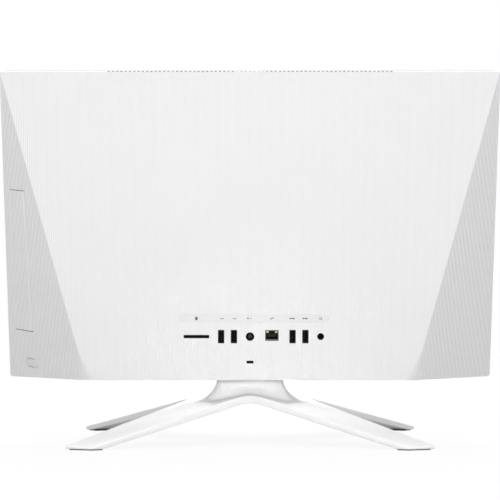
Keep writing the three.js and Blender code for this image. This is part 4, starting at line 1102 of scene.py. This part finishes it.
# The stand: the hub is a low diamond, and each leg's upper face runs from one of its sides to a toe.
NECK_TOP = 72 * MM
HUB_TOP = 57.5 * MM
HUB_BACK = mm(0, 45, 51)
HUB_SIDE = mm(56, 0, 44.1)
INNER_TOE = mm(152.5, 91, 2.5)
OUTER_TOE = mm(178, 85.5, 4.1)
HUB_THICKNESS = 7.9 * MM
TOE_THICKNESS = 5 * MM
SOLE = 1 * MM
NECK_HALF = mm(33.2, 12)
NECK_MIDDLE = 26 * MM
NECK_ROUNDNESS = 0.42
NECK_SIDES = 96
NECK_LEVELS = 18
NECK_STRAIGHT = 3 * MM
NECK_SINK = 0.03 * MM
NECK_ROOT = 3 * MM
ROOT_SHARE = 0.9
ROOT_MIDDLE = HUB_TOP - 12 * MM
FLARE_TOP = 64.5 * MM
FLARE_BLEND = 2 * MM
FLARE_FADE = 6
FLARE_CLEAR = 2.5 * MM
FLARE_STEP = 0.97
FLARE_HALF = mm(67.2, 32)
FLARE_MIDDLE = 11 * MM
SCREW_SPACING = 20 * MM
SCREW_RADIUS = 2 * MM
SCREW_LENGTH = 10.3 * MM
PAD_INSET = 1.7 * MM
PAD_LENGTH = 10.3 * MM
PAD_RECESS = 0.8 * MM
LEG_ROWS = 60
LEG_COLUMNS = 18
STAND_EDGE = 0.8 * MM
STAND_EDGE_TURN = math.radians(50)
STAND_TURN = 40
SOFTENING = 14
SOFT_AMOUNT = 0.6
SOFT_REACH = 60 * MM
SAME_PLACE = 0.01 * MM
HUB_ORDER = ((0, 0), (1, 0), (1, 1), (0, 1))
LEG_ORDER = ((0, 0), (0, 1), (1, 1), (1, 0))


def mix(a, b, share):
    return tuple(p + (q - p) * share for p, q in zip(a, b))


def leg_point(share, across):
    """A place on the upper face of one quarter, and the thickness there."""
    inner = mix(HUB_BACK, INNER_TOE, share)
    outer = mix(HUB_SIDE, OUTER_TOE, share)
    return mix(inner, outer, across), HUB_THICKNESS + (TOE_THICKNESS - HUB_THICKNESS) * share


def grid_of(rows, columns, place):
    return [[place(i / rows, j / columns) for j in range(columns + 1)] for i in range(rows + 1)]


def grid_faces(grid, order):
    """The faces of a grid of vertices, each with its four corners in the order that is given."""
    return [tuple(grid[i + a][j + b] for a, b in order)
            for i in range(len(grid) - 1) for j in range(len(grid[0]) - 1)]


def stand_sheet():
    """The upper face, a hub diamond and four legs, with the underside's height at each vertex."""
    places, lows, index = [], [], {}
    corners = (HUB_SIDE, HUB_BACK, (-HUB_SIDE[0], 0, HUB_SIDE[2]), (0, -HUB_BACK[1], HUB_BACK[2]))
    hub_low = HUB_BACK[2] - HUB_THICKNESS

    def vertex(point, low):
        key = tuple(round(c / SAME_PLACE) for c in point[:2])
        if key not in index:
            index[key] = len(places)
            places.append(Vector(point))
            lows.append(low)
        return index[key]

    def hub_vertex(u, v):
        x, y, _ = mix(mix(corners[0], corners[1], u), mix(corners[3], corners[2], u), v)
        x_share, y_share = abs(x) / HUB_SIDE[0], abs(y) / HUB_BACK[1]
        height = HUB_TOP - (HUB_TOP - HUB_SIDE[2]) * x_share - (HUB_TOP - HUB_BACK[2]) * y_share
        return vertex((x, y, height), hub_low - (hub_low - HUB_SIDE[2] + HUB_THICKNESS) * x_share)

    def leg_vertex(share, across):
        (x, y, z), thickness = leg_point(share, across)
        return vertex((side * x, end * y, z), max(z - thickness, SOLE))

    faces = grid_faces(grid_of(LEG_COLUMNS, LEG_COLUMNS, hub_vertex), HUB_ORDER)
    for side, end in ((1, 1), (-1, 1), (-1, -1), (1, -1)):
        order = LEG_ORDER if side * end > 0 else LEG_ORDER[::-1]
        faces += grid_faces(grid_of(LEG_ROWS, LEG_COLUMNS, leg_vertex), order)
    return places, lows, faces


def soften(places, lows, faces):
    """Rounds the ridges of the hub and the corners between the legs, and leaves the toes crisp."""
    uses = {}
    for face in faces:
        for a, b in zip(face, face[1:] + face[:1]):
            key = (min(a, b), max(a, b))
            uses[key] = uses.get(key, 0) + 1
    near = [[] for _ in places]
    border = [[] for _ in places]
    for (a, b), count in uses.items():
        for lists in (near, border) if count == 1 else (near,):
            lists[a].append(b)
            lists[b].append(a)
    weights = [min(1.0, max(0.0, 2 - p.xy.length / SOFT_REACH)) for p in places]
    values = [(p.x, p.y, p.z, low) for p, low in zip(places, lows)]
    for _ in range(SOFTENING):
        fresh = []
        for i, value in enumerate(values):
            around = border[i] or near[i]
            middle = [sum(values[k][c] for k in around) / len(around) for c in range(4)]
            amount = weights[i] * SOFT_AMOUNT
            fresh.append(tuple(v + (m - v) * amount for v, m in zip(value, middle)))
        values = fresh
    return [Vector(v[:3]) for v in values], [v[3] for v in values]


def legs_body():
    places, lows, faces = stand_sheet()
    places, lows = soften(places, lows, faces)
    count = len(places)
    vertices = places + [Vector((p.x, p.y, low)) for p, low in zip(places, lows)]
    solid = faces + [tuple(i + count for i in reversed(face)) for face in faces]
    used = {pair for face in faces for pair in zip(face, face[1:] + face[:1])}
    solid += [(b, a, a + count, b + count) for a, b in used if (b, a) not in used]
    body = solid_object("stand_casting", vertices, solid)
    broken_edges(body, STAND_EDGE, 3, STAND_EDGE_TURN)
    apply_modifiers(body)
    return body, BVHTree.FromPolygons(places, faces)


def height_on(sheet, x, y):
    hit = sheet.ray_cast(Vector((x, y, 1)), Vector((0, 0, -1)))[0]
    return None if hit is None else hit.z


def neck_column(sheet, turn):
    """From the neck's top down its side and out along the flare, which meets the legs' upper face level."""
    c, s = math.cos(turn), math.sin(turn)
    box = [math.copysign(abs(v) ** NECK_ROUNDNESS, v) for v in (c, s)]
    wall = Vector((box[0] * NECK_HALF[0], NECK_MIDDLE + box[1] * NECK_HALF[1]))
    foot = Vector((c * FLARE_HALF[0], FLARE_MIDDLE + s * FLARE_HALF[1]))
    while height_on(sheet, *(foot + (foot - wall).normalized() * FLARE_CLEAR)) is None:
        foot = wall + (foot - wall) * FLARE_STEP
    base = height_on(sheet, *foot)
    column = [(wall.x, wall.y, NECK_TOP), (wall.x, wall.y, FLARE_TOP + NECK_STRAIGHT)]
    for level in range(NECK_LEVELS + 1):
        angle = math.pi / 2 * level / NECK_LEVELS
        place = wall + (foot - wall) * (1 - math.cos(angle))
        flare = base + (FLARE_TOP - base) * (1 - math.sin(angle))
        ground = height_on(sheet, *place)
        overlap = max(FLARE_BLEND - abs(flare - ground), 0)
        height = max(flare, ground) + overlap * overlap / (4 * FLARE_BLEND)
        fade = 1 - (level / NECK_LEVELS) ** FLARE_FADE
        column.append((place.x, place.y, ground + (height - ground) * fade - NECK_SINK))
    root = wall + (foot - wall) * ROOT_SHARE
    return column + [(root.x, root.y, column[-1][2] - NECK_ROOT)]


def neck_body(sheet):
    columns = [neck_column(sheet, 2 * math.pi * (k + 0.5) / NECK_SIDES) for k in range(NECK_SIDES)]
    rows = len(columns[0])
    vertices = [point for column in columns for point in column] + [(0, FLARE_MIDDLE, ROOT_MIDDLE)]
    faces = [tuple(k * rows for k in range(NECK_SIDES))]
    for k in range(NECK_SIDES):
        here, other = k * rows, (k + 1) % NECK_SIDES * rows
        faces += [(here + j, here + j + 1, other + j + 1, other + j) for j in range(rows - 1)]
        faces.append((here + rows - 1, len(vertices) - 1, other + rows - 1))
    return solid_object("stand_neck", vertices, faces)


def pad_outline(side, end):
    """A foot pad's pocket in plan: the toe's own shape, drawn in from its edges."""
    run = OUTER_TOE[0] - HUB_SIDE[0]
    shares = (1 - PAD_LENGTH / run, 1 - PAD_INSET / run)
    outline = []
    for share, near in ((shares[0], 1), (shares[1], 1), (shares[1], 0), (shares[0], 0)):
        inner, outer = leg_point(share, 0)[0], leg_point(share, 1)[0]
        width = math.dist(inner[:2], outer[:2])
        across = 1 - PAD_INSET / width if near else PAD_INSET / width
        x, y, _ = mix(inner, outer, across)
        outline.append((side * x, end * y))
    return outline


def stand_tools():
    upright = Matrix.Rotation(math.pi / 2, 4, "X")
    tools = []
    for side in (-1, 1):
        outline = circle(side * SCREW_SPACING / 2, -NECK_MIDDLE, SCREW_RADIUS, STEM_SIDES)
        tools.append(prism(upright, outline, NECK_TOP - SCREW_LENGTH, NECK_TOP + OVERRUN))
        for end in (-1, 1):
            outline = [(x, -y) for x, y in pad_outline(side, end)]
            tools.append(prism(upright, outline, -OVERRUN, SOLE + PAD_RECESS))
    return tools


def stand_casting():
    body, sheet = legs_body()
    boolean(body, neck_body(sheet), "UNION")
    cut_by(body, stand_tools())
    dress(body, stand_white, "stand", STAND_TURN)
    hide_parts("stand_base")


stand_casting()


# Floor, lights and camera. What the camera and mirrored rays see of the floor and the backdrop is close to
# white, however little light the floor throws back on the object.
FLOOR_SIZE = 12.0
FLOOR_GLOW = 0.9
FLOOR_CLEAR = (0.35, 1.6)
FLOOR_SEEN = 0.92
FLOOR_LIT = 0.38
FLOOR_ROUGHNESS = 0.9
FLOOR_SHINE = 0.1
BACKDROP_LIGHT = 0.15

# The lamps: the place and aim of each, its size, its power in watts and the angle of its beam in degrees.
LAMPS = {
    "key": ((0, 1.45, 0.28), (0, 0, 0.18), (0.8, 0.3), 10.2, 180),
    "low_back": ((0, 1.6, 0.24), (0, 0.05, 0.045), (0.1, 0.1), 0.015, 12),
    "top_back": ((0, 0.8, 1.8), (0, 0, 0.2), (1.6, 1.0), 19.5, 180),
    "front": ((0, -1.4, 0.4), (0, 0, 0.15), (0.8, 0.5), 7, 180),
    "top_front": ((0, -0.8, 1.8), (0, 0, 0.2), (1.6, 1.0), 26, 180),
}

# The camera stands where the photograph was taken from. The lens and its picture are in millimetres.
CAMERA_PLACE = (0, 1.4306, 0.170)
CAMERA_NEAREST = 0.05
LENS_LENGTH = 100.58
LENS_SHIFT = 0.047
PICTURE_WIDTH = 36


def worked(tree, kind, operation, inputs):
    node = added(tree, kind, inputs)
    node.operation = operation
    return node


def seen_directly(tree):
    """1 for camera, glossy and transmission rays, 0 for the light that falls on the object."""
    rays = added(tree, "LightPath", {}).outputs
    seen = rays["Is Camera Ray"]
    for ray in ("Is Glossy Ray", "Is Transmission Ray"):
        seen = worked(tree, "Math", "MAXIMUM", {0: seen, 1: rays[ray]}).outputs[0]
    return seen


def floor():
    corners = [(a * FLOOR_SIZE / 2, b * FLOOR_SIZE / 2, 0) for a, b in SQUARE]
    piece = mesh_object("floor", corners, [(0, 1, 2, 3)])
    material, tree, shader = node_tree("floor_white")
    seen = seen_directly(tree)
    feed(tree, shader, {"Base Color": mixed(tree, seen, (FLOOR_LIT,) * 3, (FLOOR_SEEN,) * 3),
                        "Roughness": FLOOR_ROUGHNESS, "Specular IOR Level": FLOOR_SHINE})
    place = added(tree, "NewGeometry", {}).outputs["Position"]
    away = worked(tree, "VectorMath", "LENGTH", {0: place}).outputs["Value"]
    fade = ranged(tree, away, FLOOR_GLOW, 1, *FLOOR_CLEAR)
    share = worked(tree, "Math", "MULTIPLY", {0: seen, 1: fade}).outputs[0]
    glow = added(tree, "Emission", {}).outputs[0]
    blend = added(tree, "MixShader", {0: share, 1: shader.outputs[0], 2: glow}).outputs[0]
    feed(tree, tree.nodes["Material Output"], {"Surface": blend})
    piece.data.materials.append(material)


def lamp(name, place, aim, size, power, beam):
    light = bpy.data.lights.new(name, "AREA")
    light.shape = "RECTANGLE"
    light.size, light.size_y = size
    light.energy = power
    light.spread = math.radians(beam)
    stood = linked(name, light)
    stood.location = place
    stood.rotation_euler = (Vector(aim) - Vector(place)).to_track_quat("-Z", "Y").to_euler()


def backdrop():
    studio = bpy.data.worlds.new("studio")
    studio.use_nodes = True
    tree = studio.node_tree
    strength = ranged(tree, seen_directly(tree), BACKDROP_LIGHT, 1)
    feed(tree, tree.nodes["Background"], {"Color": (1, 1, 1, 1), "Strength": strength})
    bpy.context.scene.world = studio


def camera():
    """The photograph's view: straight from behind, a little below the middle of the head."""
    lens = bpy.data.cameras.new("camera")
    lens.sensor_width = PICTURE_WIDTH
    lens.lens = LENS_LENGTH
    lens.shift_y = LENS_SHIFT
    lens.clip_start = CAMERA_NEAREST
    view = linked("camera", lens)
    view.location = CAMERA_PLACE
    view.rotation_euler = (math.pi / 2, 0, math.pi)
    bpy.context.scene.camera = view


floor()
for name, settings in LAMPS.items():
    lamp(name, *settings)
backdrop()
camera()

bpy.context.scene.view_settings.view_transform = "Standard"
